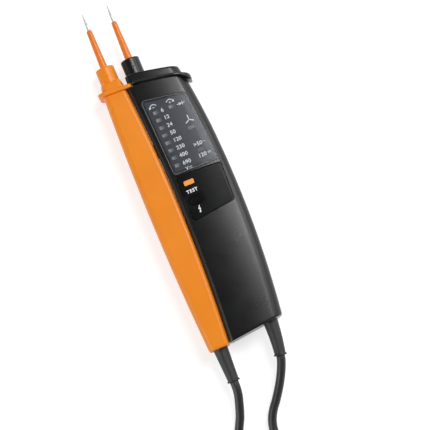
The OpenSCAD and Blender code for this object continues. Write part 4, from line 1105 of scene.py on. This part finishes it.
class TESTER_OT_keys(Operator):
    """The key panel with its print, the coloured signal lens and the rim of the test key"""
    bl_idname = "tester.keys"
    bl_label = "Key panel, signal lens and key rim"

    def execute(self, context):
        form = context.scene.tester_form
        inlay = plug("key_panel_inlay", PANEL_Z, 30, rounded(PANEL, PANEL_R), "panel")
        front = skin_object("form", handle_rings(DISPLAY_HANDLE, form.corner_steps, form.ring_pitch / MM))
        combined(inlay, [("INTERSECT", front), *cuts(
            plug("ring", 27.3, 30, rounded_bar(14.6, 103.1, 14.6, 11.6, 4.8)),
            plug("way", 26, 30, rounded_bar(*KEY_WAY)),
            plug("seat", 26, 30, rounded_bar(*SIGNAL, 7.6, 3.7, 0.7)))])
        finish_piece(inlay, DISPLAY, "panel_plastic", "key_panel", angle=40, bevel=0.15)

        levels = [(PANEL_Z, rounded_bar(*SIGNAL, 7.4, 3.5, 0.7))]
        for a in map(radians, (0, 22.5, 45, 67.5, 90)):
            d = 0.25 * (1 - cos(a))
            levels.append((28.1 - 0.2 * (1 - sin(a)),
                           rounded_bar(*SIGNAL, 7.4 - 2 * d, 3.5 - 2 * d, 0.7 - d / 2)))
        lens = prism("signal_cap", levels, "signal")
        finish_piece(lens, DISPLAY, "signal_orange", "signal_lens", angle=60)

        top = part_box("test_key")[1][2] / MM
        outer, inner = (8.7, 6.1, 2.2), (6.7, 4.1, 1.3)
        rim, dish = ([(top + lift, rounded_bar(*KEY, *size)) for lift, size in sizes] for sizes in (
            ((-0.2, outer), (0.12, outer), (0.25, (8.3, 5.7, 2.0))),
            ((-1, inner), (0.05, inner), (0.3, (7.3, 4.7, 1.6)))))
        rim = prism("key_rim", rim, "key")
        combined(rim, cuts(prism("dish", dish)))
        finish_piece(rim, "test_key", "key_rubber", angle=40)

        z = DISPLAY_DEPTH - 0.005
        bolt = [(15.5, 98.4), (14.2, 95.9), (15.15, 95.95), (14.8, 94.5), (14.35, 94.6), (14.6, 93.2),
                (15.8, 94.1), (15.35, 94.3), (16.2, 96.7), (15.2, 96.65), (16.2, 98.5)]
        label = joined("panel_print", [words("TEST", (15.1, 109.9), 2.35, z, "CENTER", 0.1, 1.22),
                                       flat_object("bolt", [bolt], z)])
        finish_piece(label, DISPLAY, "panel_plastic")
        return {"FINISHED"}


class TESTER_OT_polarity(Operator):
    """The raised plus and minus signs on the two collars"""
    bl_idname = "tester.polarity"
    bl_label = "Signs on the collars"

    def execute(self, context):
        self.sign("plus_sign", DISPLAY_HANDLE, ((3.6, 0.8), (0.8, 3.6)))
        self.sign("minus_sign", PROBE_HANDLE, ((3.6, 0.8),))
        return {"FINISHED"}

    @staticmethod
    def sign(name, h, bars):
        """Bars that follow the collar's round, each with a slanting rim."""
        n = 8
        bm = bmesh.new()
        for w, t in bars:
            loop = [(i / n - 0.5, -0.5) for i in range(n + 1)]
            loop += [(u, 0.5) for u, _ in reversed(loop)]
            if t > w:
                loop = [(v, u) for u, v in loop]
            rings = []
            for grow, lift in ((0.15, -0.5), (0.0, 0.22), (-0.15, 0.3)):
                flat = [(u * (w + 2 * grow), v * (t + 2 * grow)) for u, v in loop]
                rings.append([(h.pin_x + u, h.collar_y - 7 + v,
                               AXIS_Z + sqrt((COLLAR_R + lift) ** 2 - u * u)) for u, v in flat])
            top = add_skin(bm, rings, "open")[-1]
            for i in range(n):
                bm.faces.new((top[i], top[i + 1], top[-2 - i], top[-1 - i]))
        finish_piece(new_object(name, bm, h.finish), h.body, h.slot, angle=40)


# The finish and edge bevel, in mm, of the pieces that come from the frame
NODE_LOOKS = {name: (finish, bevel) for finish, bevel, names in (
    ("mask", 0, "light_mask"), ("light", 0.12, "indicator_lights"), ("board", 0, "circuit_board"),
    ("component", 0.1, "controller_chip"), ("component", 0.15, "key_switch"), ("component", 0.2, "buzzer"),
    ("resistor", 0, "protection_resistors"), ("resistor", 0.2, "probe_resistors"),
    ("brass", 0.15, "display_pin_clamp"), ("key", 0.25, "test_key"), ("cell", 0.3, "batteries"),
    ("steel", 0, "battery_contacts"), ("steel", 0.1, "battery_screw display_screws probe_screws"),
    ("black", 0.2, "battery_cover"), ("pin", 0, "display_pin probe_pin"),
    ("sleeve", 0, "display_sleeve probe_sleeve"), ("wire", 0, "probe_wire"),
) for name in names.split()}
# The finish of replaced nodes, by the first word of their names
HIDDEN_LOOKS = {"display": "black", "lead": "sheath"}


class TESTER_OT_frame_looks(Operator):
    """Materials and small edge bevels for the pieces that come from the frame"""
    bl_idname = "tester.frame_looks"
    bl_label = "Finish of the frame's pieces"

    def execute(self, context):
        for name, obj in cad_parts.items():
            if obj.hide_render:
                finish = HIDDEN_LOOKS.get(name.split("_")[0], "orange")
            elif name in NODE_LOOKS:
                finish, bevel = NODE_LOOKS[name]
                edged(obj, bevel)
            else:
                raise RuntimeError(f"{name} has no finish")
            obj.data.materials.clear()
            obj.data.materials.append(look(finish))
        return {"FINISHED"}


STEPS = (TESTER_OT_stage, TESTER_OT_lead, TESTER_OT_display_shells, TESTER_OT_probe_shells,
         TESTER_OT_reliefs, TESTER_OT_window, TESTER_OT_keys, TESTER_OT_polarity, TESTER_OT_frame_looks)


class TESTER_PT_panel(Panel):
    """The tester's building steps and settings"""
    bl_label = "Voltage tester"
    bl_idname = "TESTER_PT_panel"
    bl_space_type = "VIEW_3D"
    bl_region_type = "UI"
    bl_category = "Tester"

    def draw(self, context):
        for step in STEPS:
            self.layout.operator(step.bl_idname)
        for name in SETTINGS:
            box = self.layout.box()
            group = getattr(context.scene, name)
            for key in group.__annotations__:
                box.prop(group, key)


SETTINGS = {"tester_form": TesterFormSettings, "tester_lead": TesterLeadSettings,
            "tester_finish": TesterFinishSettings, "tester_stage": TesterStageSettings}


def register():
    for cls in (*SETTINGS.values(), *STEPS, TESTER_PT_panel):
        bpy.utils.register_class(cls)
    for name, cls in SETTINGS.items():
        setattr(bpy.types.Scene, name, PointerProperty(type=cls))


def unregister():
    for name in SETTINGS:
        delattr(bpy.types.Scene, name)
    for cls in reversed((*SETTINGS.values(), *STEPS, TESTER_PT_panel)):
        bpy.utils.unregister_class(cls)


def main():
    register()
    for step in STEPS:
        group, call = step.bl_idname.split(".")
        if getattr(getattr(bpy.ops, group), call)() != {"FINISHED"}:
            raise RuntimeError(f"{step.bl_label} did not finish")


if __name__ == "__main__":
    main()
